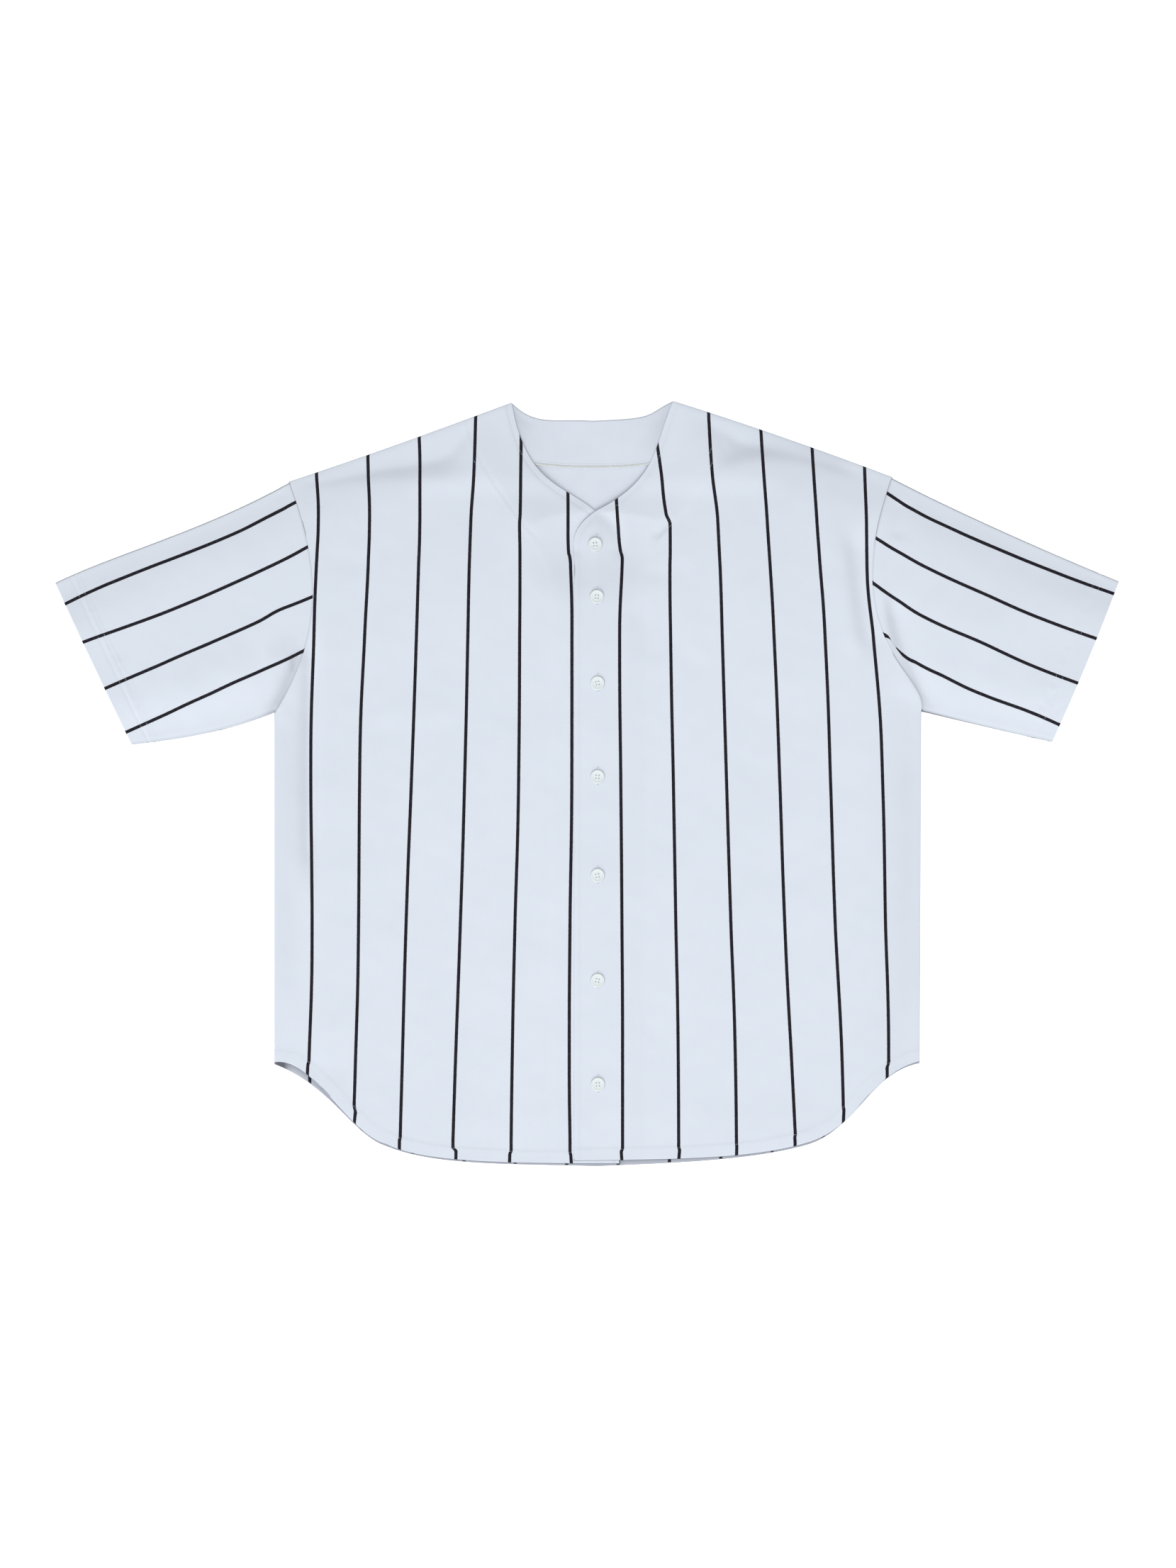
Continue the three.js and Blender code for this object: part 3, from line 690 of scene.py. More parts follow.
# %% [markdown]
# Shader maths reads best as ordinary sums. `Reading` wraps a node's output and adds a Math node for
# each operator, also for a number on the left, as in `1 - mask`. `Finish` makes every other node from
# its type, its settings and what goes into its sockets.

# %% Writing finishes as sums
COLOUR_MIX_SOCKETS = (0, 6, 7)
COLOUR_MIX_RESULT = 2


class Reading:
    def __init__(self, finish, output):
        self.finish = finish
        self.output = output

    def math(self, operation, *values):
        sockets = dict(enumerate(values or (self,)))
        return self.finish.node("ShaderNodeMath", {"operation": operation}, sockets)

    def __add__(self, other):
        return self.math("ADD", self, other)

    def __sub__(self, other):
        return self.math("SUBTRACT", self, other)

    def __rsub__(self, other):
        return self.math("SUBTRACT", other, self)

    def __mul__(self, other):
        return self.math("MULTIPLY", self, other)

    __radd__ = __add__
    __rmul__ = __mul__

    def ramp(self, low, high):
        """0 below low, 1 above high, and smooth between."""
        return self.finish.node(
            "ShaderNodeMapRange", {"interpolation_type": "SMOOTHSTEP"},
            {"Value": self, "From Min": low, "From Max": high})


class Finish:
    def __init__(self, name, **constants):
        self.material = bpy.data.materials.new(name)
        self.material.use_nodes = True
        self.tree = self.material.node_tree
        self.shader = self.tree.nodes["Principled BSDF"]
        self.shows(**constants)

    def shows(self, **sockets):
        for socket, value in sockets.items():
            self.feed(self.shader.inputs[socket.replace("_", " ")], value)
        return self

    def feed(self, socket, value):
        if isinstance(value, Reading):
            self.tree.links.new(value.output, socket)
        else:
            socket.default_value = value

    def node(self, kind, settings=None, sockets=None, output=0):
        node = self.tree.nodes.new(kind)
        for setting, value in (settings or {}).items():
            setattr(node, setting, value)
        for socket, value in (sockets or {}).items():
            self.feed(node.inputs[socket], value)
        return Reading(self, node.outputs[output])

    def stored(self, name):
        return self.node("ShaderNodeAttribute", {"attribute_name": name}, output="Fac")

    def mix(self, share, first, second):
        """Two colours mixed by a share. A Mix node has a pair of sockets for each kind of value."""
        sockets = dict(zip(COLOUR_MIX_SOCKETS, (share, first, second)))
        return self.node("ShaderNodeMix", {"data_type": "RGBA"}, sockets, output=COLOUR_MIX_RESULT)

    def noise(self, scale, detail=2.0):
        place = self.node("ShaderNodeTexCoord", output="Object")
        sockets = {"Vector": place, "Scale": scale, "Detail": detail}
        return self.node("ShaderNodeTexNoise", None, sockets, output="Fac")

    def bump(self, height, distance, strength=1.0):
        sockets = {"Height": height, "Distance": distance, "Strength": strength}
        return self.shows(Normal=self.node("ShaderNodeBump", None, sockets, output="Normal"))


print("a Mix node takes its share and its two colours at the sockets", COLOUR_MIX_SOCKETS)

# %% [markdown]
# The cloth is a matt double knit in white with a blue cast. Its face has fine columns of loops less
# than a millimetre wide, which only show from close by, and a soft unevenness of tone. Loops that
# fine are left to a bump, as modelling each would take millions of faces. The print sits in the yarn,
# so a stripe keeps the knit's relief, and its edges are a little ragged.

# %% The cloth's finish
CLOTH_WHITE = (0.712, 0.766, 0.850, 1)
CLOTH_SHADE = (0.698, 0.754, 0.838, 1)
# The inside's white is a little darker than the face's: painted shade, as the inside shows only in the
# fronts' shade.
PAINTED_SHADE_INSIDE_WHITE = (0.684, 0.734, 0.818, 1)
PRINT_BLACK = (0.008, 0.006, 0.012, 1)
PRINT_FADED = (0.018, 0.016, 0.026, 1)
# The colour that painted shade darkens the cloth and the buttons towards.
PAINTED_SHADE_COLOUR = (0.130, 0.135, 0.170, 1)
STRIPE_WIDTH = 3.2
STRIPE_BLUR = 0.35
WALE = 0.95
COURSE = 0.8
COURSE_SHIFT = 1.2
KNIT_DEPTH = 0.00016
KNIT_STRENGTH = 0.16
WALE_RELIEF = 0.5
COURSE_RELIEF = 0.3
FIBRE_RELIEF = 0.8
FIBRE_GRAIN = 2600
WIDE_TONE_GRAIN = 9
FINE_TONE_GRAIN = 60
RAGGED = 0.5
RAGGED_GRAIN = 1500
INK_GRAIN = 420


def knit(name, white, printed):
    finish = Finish(name, Roughness=0.86, Sheen_Weight=0.12, Sheen_Roughness=0.45, Specular_IOR_Level=0.25)
    count = finish.stored("across")
    wales = (count * (STRIPE_PITCH * 2 * math.pi / WALE)).math("SINE")
    courses = (finish.stored("along") * (2 * math.pi / COURSE) + wales * COURSE_SHIFT).math("SINE")
    fibres = finish.noise(FIBRE_GRAIN, 3) * FIBRE_RELIEF
    finish.bump(wales * WALE_RELIEF + courses * COURSE_RELIEF + fibres, KNIT_DEPTH, KNIT_STRENGTH)
    tone = finish.noise(WIDE_TONE_GRAIN, 3) * 0.6 + finish.noise(FINE_TONE_GRAIN) * 0.4
    cloth = finish.mix(tone.ramp(0.35, 0.65), white, CLOTH_SHADE)
    # Painted shade, stored on the mesh's points, darkens the cloth towards the painted-shade colour.
    cloth = finish.mix(finish.stored("painted_shade"), cloth, PAINTED_SHADE_COLOUR)
    if printed:
        ragged = finish.noise(RAGGED_GRAIN) * RAGGED - RAGGED / 2
        off = (count - count.math("ROUND")).math("ABSOLUTE") * finish.stored("pitch") + ragged
        edge = STRIPE_WIDTH / 2 - STRIPE_BLUR / 2
        stripe = 1 - off.ramp(edge, edge + STRIPE_BLUR)
        ink = finish.mix(finish.noise(INK_GRAIN).ramp(0.45, 0.75), PRINT_BLACK, PRINT_FADED)
        cloth = finish.mix(stripe, cloth, ink)
    return finish.shows(Base_Color=cloth).material


# The plain knit is the unprinted inside, in the darker white with painted shade.
CLOTH_FINISHES = [knit("printed_knit", CLOTH_WHITE, True), knit("plain_knit", PAINTED_SHADE_INSIDE_WHITE, False)]
PRINTED, PLAIN = 0, 1
print("cloth finishes:", [finish.name for finish in CLOTH_FINISHES])

# %% [markdown]
# The jersey's inside shows at the neck and past the fronts' hems. It is in the fronts' shade there, and
# most of all in the open corner of the hem. Cloth this thin throws little shade of its own in even light,
# so this shade is painted on the cloth, by the distance from the fronts' edges.

# %% Shade inside the jersey
# Painted shade on the inside: along the fronts' hems, at the neck's upper corners, and most in the hem's
# corner.
HEM_INSIDE_PAINTED_SHADE = 0.5
HEM_SHADE_RUN = 7.5
NECK_INSIDE_PAINTED_SHADE = 0.2
NECK_SHADE_RUN = 12.0
CORNER_PAINTED_SHADE = 0.95
CORNER_SHADE_RUN = 6.0
CORNER = np.array([-308.0, 97.0])
NECK_SHADE_FROM_Y = 675.0
NECK_SHADE_RISE = 50.0


def inside_painted_shade(place):
    """Shade painted on the inside under the fronts' edges: at the neck's upper corners and along the hem,
    most in its corner.
    """
    hem = [EDGES[name]["front_hem"].at(np.linspace(0, 1, 60)) for name in SIDES]
    near_hem = np.exp(-((nearest(place, hem) / HEM_SHADE_RUN) ** 2)) * HEM_INSIDE_PAINTED_SHADE
    upper = smooth((place[..., 1] - NECK_SHADE_FROM_Y) / NECK_SHADE_RISE)
    near_neck = np.exp(-nearest(place, NECKLINES) / NECK_SHADE_RUN) * NECK_INSIDE_PAINTED_SHADE * upper
    from_corner = np.linalg.norm(place - CORNER, axis=-1) / CORNER_SHADE_RUN
    near_corner = np.exp(-from_corner * from_corner) * CORNER_PAINTED_SHADE
    return np.clip(near_hem + near_neck + near_corner, 0, 1)


print("greyness in the hem's corner and at mid back:",
      inside_painted_shade(np.array([[-308.0, 97.0], [0.0, 400.0]])).round(2))

# %% [markdown]
# The back is one piece of cloth. It lies face down, so its plain inside looks up through the neck and
# past the fronts' hems, and the turned-up edge of its hem shows the print again. It lies flat on the
# table, so only the stitches' groove is let into its face.

# %% The back
BACK_STEP = 5.0
BACK_LENGTH = 744.0
BACK_STRIPE_X = -279.5
ARMPIT_ROW = 0.6
BACK_PRESSED = 0.1
BACK_RELIEF = 0.5
BACK_GROOVE = 0.15

right, left = EDGES["right"], EDGES["left"]
BACK_HEM = Edge(right["back_hem"].points, left["back_hem"].points[::-1])
BACK_TOP = Edge(
    right["shoulder_seam"].points, right["back_neck"].points,
    left["back_neck"].points[::-1], left["shoulder_seam"].points[::-1])
back_place = patch(
    BACK_HEM.at, BACK_TOP.at,
    joined(right["back_side"], right["armhole_up"], ARMPIT_ROW),
    joined(left["back_side"], left["armhole_up"], ARMPIT_ROW),
    spaced(BACK_HEM.length, BACK_STEP, fine_start=5, fine_end=5),
    spaced(BACK_LENGTH, BACK_STEP, fine_start=15, fine_end=5))
hem_distance = np.abs(from_line(back_place, BACK_HEM.at(np.linspace(0, 1, 90)))[0])
back_over = CLOTH - BACK_PRESSED + turned(back_place, BACK_HEM, **HEM) * BACK_RELIEF
back_under = BACK_GROOVE * np.exp(-(((hem_distance - HEM["rows"][0]) / GROOVE_WIDTH) ** 2))
back_count = (back_place[..., 0] - BACK_STRIPE_X) / STRIPE_PITCH
in_turn_up = (hem_distance < HEM["depth"])[:-1, :-1].ravel()
back = sheet_of_cloth(
    "back_cloth", back_place, back_under, back_over, CLOTH_FINISHES,
    cloth_print(back_place, back_count, back_place[..., 1], inside_painted_shade(back_place)),
    upper_finish=np.where(in_turn_up, PRINTED, PLAIN), lower_finish=PRINTED, rim_finish=PLAIN)
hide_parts("back_panel")
print("back:", len(back.data.polygons), "faces")

# %% [markdown]
# The back neck facing is a crescent of the same cloth, seamed along the neckline and lying free below.
# It shows its plain side inside the neck. It is blended from its upper edge to its lower one, because
# a crescent comes to a point at each end, where a patch of four edges would crumple.

# %% The back neck facing
FACING_STEP = 3.0
FACING_DEPTH = 45.0
FACING_INSET = np.array([0, 0.6])
FACING_ALONG_SHOULDER = 0.19
FACING_BOTTOM_BOW = [(55, -0.5), (107, 6)]
FACING_UNDER = CLOTH + LAYER_GAP
FACING_PRESSED = 0.1
FACING_POINT = 0.008
FACING_WAVES = (0.06, 40, 11)  # height, length and seed
NECK_CREASES = [[(-77, 731), (-66, 723)], [(68, 732), (58, 724)]]
NECK_CREASE_DEPTH = 0.3
NECK_CREASE_WIDTH = 2.5


def facing_edges(name):
    """The facing's top edge from the middle out along the shoulder, and its lower edge."""
    edges, sign = EDGES[name], SIDES[name]["sign"]
    shoulder = edges["shoulder_seam"].at(np.linspace(1, 1 - FACING_ALONG_SHOULDER, 30)) - FACING_INSET
    neck = edges["back_neck"].points[::-1] - FACING_INSET
    middle = np.array([NECK_DIP[0], FACING_BOTTOM_Y])
    bows = [middle + (sign * across, up) for across, up in FACING_BOTTOM_BOW]
    return np.concatenate([neck, shoulder[1:]]), curve([middle, *bows, shoulder[-1]])


(right_top, right_bottom), (left_top, left_bottom) = facing_edges("right"), facing_edges("left")
FACING_TOP = Edge(right_top[::-1], left_top)
FACING_BOTTOM = Edge(right_bottom[::-1], left_bottom)
u, v = np.meshgrid(
    np.linspace(FACING_POINT, 1 - FACING_POINT, round(FACING_TOP.length / FACING_STEP)),
    spaced(FACING_DEPTH, FACING_STEP, fine_start=6, fine_end=3))
facing_place = (1 - v[..., None]) * FACING_BOTTOM.at(u) + v[..., None] * FACING_TOP.at(u)


def facing_over(place):
    height, size, seed = FACING_WAVES
    relief = height * waves(place, size, seed)
    for crease in NECK_CREASES:
        away, _ = from_line(place, through(crease))
        relief = relief - NECK_CREASE_DEPTH * np.exp(-((away / NECK_CREASE_WIDTH) ** 2))
    return FACING_UNDER + FACING_CLOTH - FACING_PRESSED + relief


facing_count = facing_place[..., 0] / STRIPE_PITCH
facing = sheet_of_cloth(
    "back_neck_facing_cloth", facing_place, np.full(u.shape, FACING_UNDER), facing_over(facing_place),
    CLOTH_FINISHES,
    cloth_print(facing_place, facing_count, facing_place[..., 1], inside_painted_shade(facing_place)),
    upper_finish=PLAIN, lower_finish=PRINTED, rim_finish=PLAIN)
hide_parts("back_neck_facing")
print("facing's edges, mm:", round(FACING_TOP.length), round(FACING_BOTTOM.length))

# %% [markdown]
# A facing inside each front follows the neckline and the placket, so the cloth is thicker as far as
# the facing's edge, where two rows of stitches hold it down. The facing itself doesn't show, so it is
# a step in the front's own surface and no piece. The left front passes over the right one and comes
# down beyond it, and both thin towards the neckline, where the cloth is pressed sharp.

# %% The fronts' relief
OVERLAP_GAP = 0.2
OVERLAP_RUN = 24.0
OPENING = {"depth": 7.2, "rows": (5.6,), "pucker": 0.015, "thicker": 0.12}
OPENING_GROOVE = {"right": 0.26, "left": 0.1}
THIN_EDGE = 0.6
THIN_EDGE_RUN = 6.0
FRONT_FACING = {
    "right": Edge(curve([(-127.7, 728), (-119, 685), (-96, 660), (-74.2, 628.6)]),
                  curve([(-74.2, 628.6), (-48, 600), (-37, 590), (-37, 545)]),
                  curve([(-37, 545), (-36, 10)])),
    "left": Edge(curve([(118, 724), (111, 684), (90, 655), (69.7, 630.3)]),
                 curve([(69.7, 630.3), (47, 603), (37, 592), (37, 545)]),
                 curve([(37, 545), (37, 12)])),
}
FACING_STITCHES_APART = 6.0
FACING_STITCHED_SHARE = 0.2
FACING_STITCHED_FADE = 0.03
FACING_GROOVE_WIDTH = 1.3
FACING_STEP_RUN = 3.0
FACING_STEP_HEIGHT = 0.22
FACING_GROOVE = {"right": 0.28, "left": 0.08}


def opening(name):
    """A front's whole free edge: up the placket and round the neckline."""
    return Edge(EDGES[name]["placket"].points, EDGES[name]["neckline"].points)


def front_under(name, place):
    over_right_front = smooth((PLACKET_EDGE + OVERLAP_RUN - place[..., 0]) / OVERLAP_RUN)
    return CLOTH + air(place) + (CLOTH + OVERLAP_GAP) * over_right_front * (name == "left")


def facing_relief(name, place):
    away, along = from_line(place, FRONT_FACING[name].at(np.linspace(0, 1, 60)))
    inside = -SIDES[name]["sign"] * away
    stitched = smooth((FACING_STITCHED_SHARE - along) / FACING_STITCHED_FADE)
    from_second_row = inside + FACING_STITCHES_APART
    grooves = np.exp(-((inside / FACING_GROOVE_WIDTH) ** 2))
    grooves = grooves + np.exp(-((from_second_row / FACING_GROOVE_WIDTH) ** 2))
    step = FACING_STEP_HEIGHT * smooth((from_second_row + FACING_STEP_RUN) / FACING_STEP_RUN)
    return step - FACING_GROOVE[name] * stitched * grooves


def front_over(name, place):
    relief = turned(place, EDGES[name]["front_hem"], **HEM)
    relief = relief + turned(place, opening(name), groove=OPENING_GROOVE[name], **OPENING)
    thinner = THIN_EDGE * np.exp(-((nearest(place, NECKLINES) / THIN_EDGE_RUN) ** 2))
    return front_under(name, place) + CLOTH * (1 - thinner) + relief + facing_relief(name, place)


on_placket = np.array([[0.0, 330.0]])
print("thickness of the left front on its placket, mm:",
      (front_over("left", on_placket) - front_under("left", on_placket)).round(2))

# %% [markdown]
# Each front runs from the side seam past the middle to its placket edge, and turns a round corner
# into the neckline. Where its hem is turned up, the print is dragged a little to and fro, as the
# feed of a sewing machine drags it.

# %% The fronts
FRONT_STEP = 3.1
FRONT_FINE_STEP = 0.9
FRONT_LENGTH = 735.0
FRONT_CORNER_ROW = 0.7714
# Shade painted into the neckline's stitched groove, more on the right front.
GROOVE_PAINTED_SHADE = {"right": 0.08, "left": 0.03}
HEM_DRAG = 1.8
HEM_DRAG_LENGTH = 90.0
HEM_DRAG_SEED = 21
HEM_DRAG_RUN = 4.0


def front(name):
    edges = EDGES[name]
    place = patch(
        edges["front_hem"].at, edges["shoulder_seam"].at,
        joined(edges["side_seam"], edges["armhole_up"], ARMPIT_ROW),
        joined(edges["placket"], edges["neckline"], FRONT_CORNER_ROW),
        spaced(edges["front_hem"].length, FRONT_STEP, 3, 9, FRONT_FINE_STEP),
        spaced(FRONT_LENGTH, FRONT_STEP, fine_start=14, fine_end=3))
    stripes = [eased(STRIPE_HEIGHTS, row, place[..., 1]) for row in FRONT_STRIPES[name]]
    hem_line = edges["front_hem"].at(np.linspace(0, 1, 60))
    in_hem = smooth((HEM["rows"][0] + 1 - nearest(place, [hem_line])) / HEM_DRAG_RUN)
    dragged = place[..., 0] + HEM_DRAG * waves(place, HEM_DRAG_LENGTH, HEM_DRAG_SEED) * in_hem
    count = count_stripes(dragged, stripes, STRIPE_PITCH)
    from_row = nearest(place, [opening(name).at(np.linspace(0, 1, 90))]) - OPENING["rows"][0]
    # Painted shade: in the neckline's groove and in the soft bands of the folds.
    painted_shade = GROOVE_PAINTED_SHADE[name] * np.exp(-((from_row / GROOVE_WIDTH) ** 2)) + bands(place, SHADES)
    piece = sheet_of_cloth(
        f"front_{name}_cloth", place, front_under(name, place), front_over(name, place),
        CLOTH_FINISHES, cloth_print(place, count, place[..., 1], painted_shade),
        upper_finish=PRINTED, lower_finish=PLAIN, rim_finish=PRINTED)
    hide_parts(f"front_{name}")
    return piece


fronts = {name: front(name) for name in SIDES}
print("fronts:", {name: len(piece.data.polygons) for name, piece in fronts.items()}, "faces")

# %% [markdown]
# A sleeve has a stitched cuff, a seam under the arm and a seam round the armhole, where it is sewn to
# the body and tucks in at the armpit. One stripe of the left sleeve breaks off in that tuck. There the
# print is spaced so wide that its line thins to nothing, which is simpler than cutting the stripe.

# %% The sleeves' relief and painted shade
UNDERARM_SEAM = {"depth": 2.6, "rows": (3.2,), "groove": 0.3}
UNDERARM_RELIEF = 0.5
# Painted shade in the armhole seam, in the tuck at the armpit, and along the underarm edge beside it.
SEAM_PAINTED_SHADE = 0.2
SEAM_SHADE_RUN = 0.8
ARMPIT_PAINTED_SHADE = {"right": 0.14, "left": 0.25}
ARMPIT_SHADE_RUN = {"right": 8.0, "left": 3.6}
ARMPIT_SHADE_FROM = 0.66
ARMPIT_SHADE_RISE = 0.3
EDGE_SHADE = {"right": 0.35, "left": 0.8}
EDGE_SHADE_RUN = 2.4
EDGE_SHADE_REACH = 34.0
TUCK = np.array([286.4, 508.0])
TUCK_RADIUS = 3.2
TUCK_WIDENS = 25
TUCK_SHARPNESS = 4


def sleeve_over(name, place):
    cuff, underarm = EDGES[name]["cuff"], EDGES[name]["underarm"]
    relief = turned(place, cuff, **CUFF) + UNDERARM_RELIEF * turned(place, underarm, **UNDERARM_SEAM)
    return 2 * CLOTH + air(place) + relief


def sleeve_painted_shade(name, place):
    """Shade painted on the sleeve in its armhole seam, where it tucks in at the armpit, and below that,
    with the soft bands of the folds.
    """
    from_seam, along = from_line(place, EDGES[name]["armhole"].at(np.linspace(0, 1, 60)))
    from_seam = np.abs(from_seam)
    seam = SEAM_PAINTED_SHADE * np.exp(-((from_seam / SEAM_SHADE_RUN) ** 2))
    lower = smooth((along - ARMPIT_SHADE_FROM) / ARMPIT_SHADE_RISE) * ARMPIT_PAINTED_SHADE[name]
    tucked = lower * np.exp(-from_seam / ARMPIT_SHADE_RUN[name])
    armpit = EDGES[name]["armhole"].at(1.0)
    near = np.exp(-((np.linalg.norm(place - armpit, axis=-1) / EDGE_SHADE_REACH) ** 2))
    from_edge = nearest(place, [EDGES[name]["underarm"].at(np.linspace(0, 1, 60))])
    edge = EDGE_SHADE[name] * near * np.exp(-((from_edge / EDGE_SHADE_RUN) ** 2))
    return np.clip(seam + tucked + edge + bands(place, SHADES), 0, 1)


def lost_in_tuck(place):
    """How many times wider than its own pitch the print is spaced: once, and far more in the tuck."""
    from_tuck = np.linalg.norm(place - TUCK, axis=-1) / TUCK_RADIUS
    return 1 + TUCK_WIDENS * np.exp(-(from_tuck ** TUCK_SHARPNESS))


print("right sleeve's outside beside its armpit, mm:",
      sleeve_over("right", np.array([[-340.0, 450.0]])).round(2))

# %% [markdown]
# A set-in sleeve is a tube, folded flat along its top, with its seam under the arm. It is built as
# rings from the armhole to the cuff. Each ring goes over the front layer, round the underarm seam,
# back under the back layer and round the top fold, once for the outside and once for the inside.

# %% Rings round a sleeve
FOLD_RADIUS = CLOTH + LAYER_GAP / 2
FOLD_STEPS = 6


def around(upper, lower, fold_out, fold_up, place):
    """Rings of points: over the upper layer, round one fold, back under, and round the other."""
    angles = [math.pi * k / FOLD_STEPS for k in range(1, FOLD_STEPS)]
    out, up = np.sin(angles)[None, :, None], np.cos(angles)[None, :]

    def fold(column, direction):
        where = place[:, column, None] + direction[:, None] * fold_out * out
        return where, FOLD_RADIUS + fold_up * up

    first, last = place[:, 0] - place[:, 1], place[:, -1] - place[:, -2]
    first /= np.linalg.norm(first, axis=1)[:, None]
    last /= np.linalg.norm(last, axis=1)[:, None]
    far_place, far_height = fold(-1, last)
    near_place, near_height = fold(0, first)
    rows = len(place)
    places = np.concatenate([place, far_place, place[:, ::-1], near_place[:, ::-1]], axis=1)
    heights = np.concatenate([
        upper, np.broadcast_to(far_height, (rows, far_height.shape[1])),
        lower[:, ::-1], np.broadcast_to(near_height[:, ::-1], (rows, near_height.shape[1]))], axis=1)
    return places, heights


def draw_in(place, distance):
    """The outermost rows and columns drawn in by a distance, to leave room for rounding."""
    drawn = place.copy()
    for border, inner in ((np.s_[0], np.s_[1]), (np.s_[-1], np.s_[-2]),
                          (np.s_[:, 0], np.s_[:, 1]), (np.s_[:, -1], np.s_[:, -2])):
        step = place[inner] - place[border]
        far = distance[0] if border in (0, -1) else distance[1]
        drawn[border] += far * step / np.linalg.norm(step, axis=-1)[..., None]
    return drawn


def end_rims(outer, inner):
    """The rounded rims at the armhole and at the cuff, each as a few rings of points."""
    (outer_place, outer_height), (inner_place, inner_height) = outer, inner
    rims = []
    for row, ahead in ((0, 1), (-1, -2)):
        out = outer_place[row] - outer_place[ahead]
        out /= np.linalg.norm(out, axis=1)[:, None]
        half = (outer_height[row] - inner_height[row])[:, None] / 2
        where = (outer_place[row] + inner_place[row]) / 2
        spread = (outer_place[row] - inner_place[row]) / 2
        height = ((outer_height[row] + inner_height[row]) / 2)[:, None]
        for angle in RIM_ANGLES:
            beyond = out * CLOTH / 2 * math.sin(angle)
            rims.append(to_frame(
                where + spread * math.cos(angle) + beyond, (height + half * math.cos(angle))[:, 0]))
    return rims


print("rings' fold, steps and radius in mm:", FOLD_STEPS, round(FOLD_RADIUS, 2))

# %% [markdown]
# The rings become a mesh: the outside, the inside turned the other way, and a cap of rim rings at each
# end. Cutting a tube in two layers of plain planes would leave open seams, and this one is closed.

# %% The sleeves
SLEEVE_STEP = 3.0
SLEEVE_GIRTH = 245.0
SLEEVE_LENGTH = 235.0
SEAM_GAP = -0.45
# Painted shade on the sleeve's folded edges, most on the fold under the arm.
UPPER_FOLD_PAINTED_SHADE = 0.08
LOWER_FOLD_PAINTED_SHADE = 1.0


def sleeve_faces(index, first_rim):
    """A closed tube's faces, with the numbers of the outside's and the inside's faces."""
    closed = np.concatenate([index, index[:, :1]], axis=1)
    outside, inside = grid_faces(closed), grid_faces(closed + index.size)[:, ::-1]
    caps = []
    for end, row in enumerate((0, -1)):
        columns = np.arange(index.shape[1])
        rim_loops = [first_rim + len(columns) * (len(RIM_ANGLES) * end + k) + columns
                     for k in range(len(RIM_ANGLES))]
        cap = strips([index[row], *rim_loops, index[row] + index.size])
        caps.append(cap if row == 0 else cap[:, ::-1])
    return np.concatenate([outside, inside, *caps]), len(outside), len(inside)


def round_sleeve(values):
    """The values of the upper layer, carried all round the tube and to its rims."""
    spread = {}
    for key, value in values.items():
        folds = [np.repeat(value[:, [column]], FOLD_STEPS - 1, axis=1) for column in (-1, 0)]
        # The folds add painted shade, and the rim at the cuff gets the rims' painted shade.
        if key == "painted_shade":
            folds = [fold + painted_shade for fold, painted_shade in zip(folds, (LOWER_FOLD_PAINTED_SHADE, UPPER_FOLD_PAINTED_SHADE))]
        ring = np.concatenate([value, folds[0], value[:, ::-1], folds[1]], axis=1)
        ends = [np.maximum(ring[row], RIM_PAINTED_SHADE * (key == "painted_shade") * (row == -1))
                for row in (0, -1) for _ in RIM_ANGLES]
        spread[key] = np.concatenate([ring.ravel(), ring.ravel(), *ends])
    return spread


def sleeve(name):
    edges, sign = EDGES[name], SIDES[name]["sign"]
    u = spaced(SLEEVE_GIRTH, SLEEVE_STEP, fine_start=6, fine_end=6)
    v = spaced(SLEEVE_LENGTH, SLEEVE_STEP, fine_start=3, fine_end=27)
    place = patch(
        edges["armhole"].at, edges["cuff"].at, edges["sleeve_top"].at, edges["underarm"].at, u, v)
    place = draw_in(place + np.array([sign * SEAM_GAP, 0]), (CLOTH / 2, FOLD_RADIUS))
    along = np.broadcast_to(v[:, None], place.shape[:-1])
    stripes = [eased(SLEEVE_STATIONS, row, along) for row in SLEEVE_STRIPES[name]]
    count = count_stripes(np.broadcast_to(u, place.shape[:-1]), stripes, SLEEVE_PITCH)
    values = cloth_print(place, count, along * SLEEVE_LENGTH, sleeve_painted_shade(name, place))
    values["pitch"] = values["pitch"] * lost_in_tuck(place)
    over = sleeve_over(name, place)
    outer = around(over, np.zeros(over.shape), FOLD_RADIUS, FOLD_RADIUS, place)
    inner = around(over - CLOTH, np.full(over.shape, CLOTH), LAYER_GAP / 2, LAYER_GAP / 2, place)
    layers = [to_frame(places.reshape(-1, 2), heights.ravel()) for places, heights in (outer, inner)]
    points = np.concatenate([*layers, *end_rims(outer, inner)])
    index = np.arange(outer[1].size).reshape(outer[1].shape)
    faces, outside, inside = sleeve_faces(index, 2 * index.size)
    face_finish = np.full(len(faces), PRINTED)
    face_finish[outside:outside + inside] = PLAIN
    piece = new_piece(f"sleeve_{name}_cloth", points, outward(points, faces), CLOTH_FINISHES,
                      face_finish, round_sleeve(values))
    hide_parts(f"sleeve_{name}")
    return piece


sleeves = {name: sleeve(name) for name in SIDES}
print("sleeves:", {name: len(piece.data.polygons) for name, piece in sleeves.items()}, "faces")

# %% [markdown]
# Sewing is real thread here, because it shows where it crosses a stripe. One stitch is a short
# six-sided spindle whose ends dip into the cloth. Copies of an object on a path would be slower to
# place, so `sew` lays many stitches at once as one mesh, each between two places, on whatever surface
# it is given.

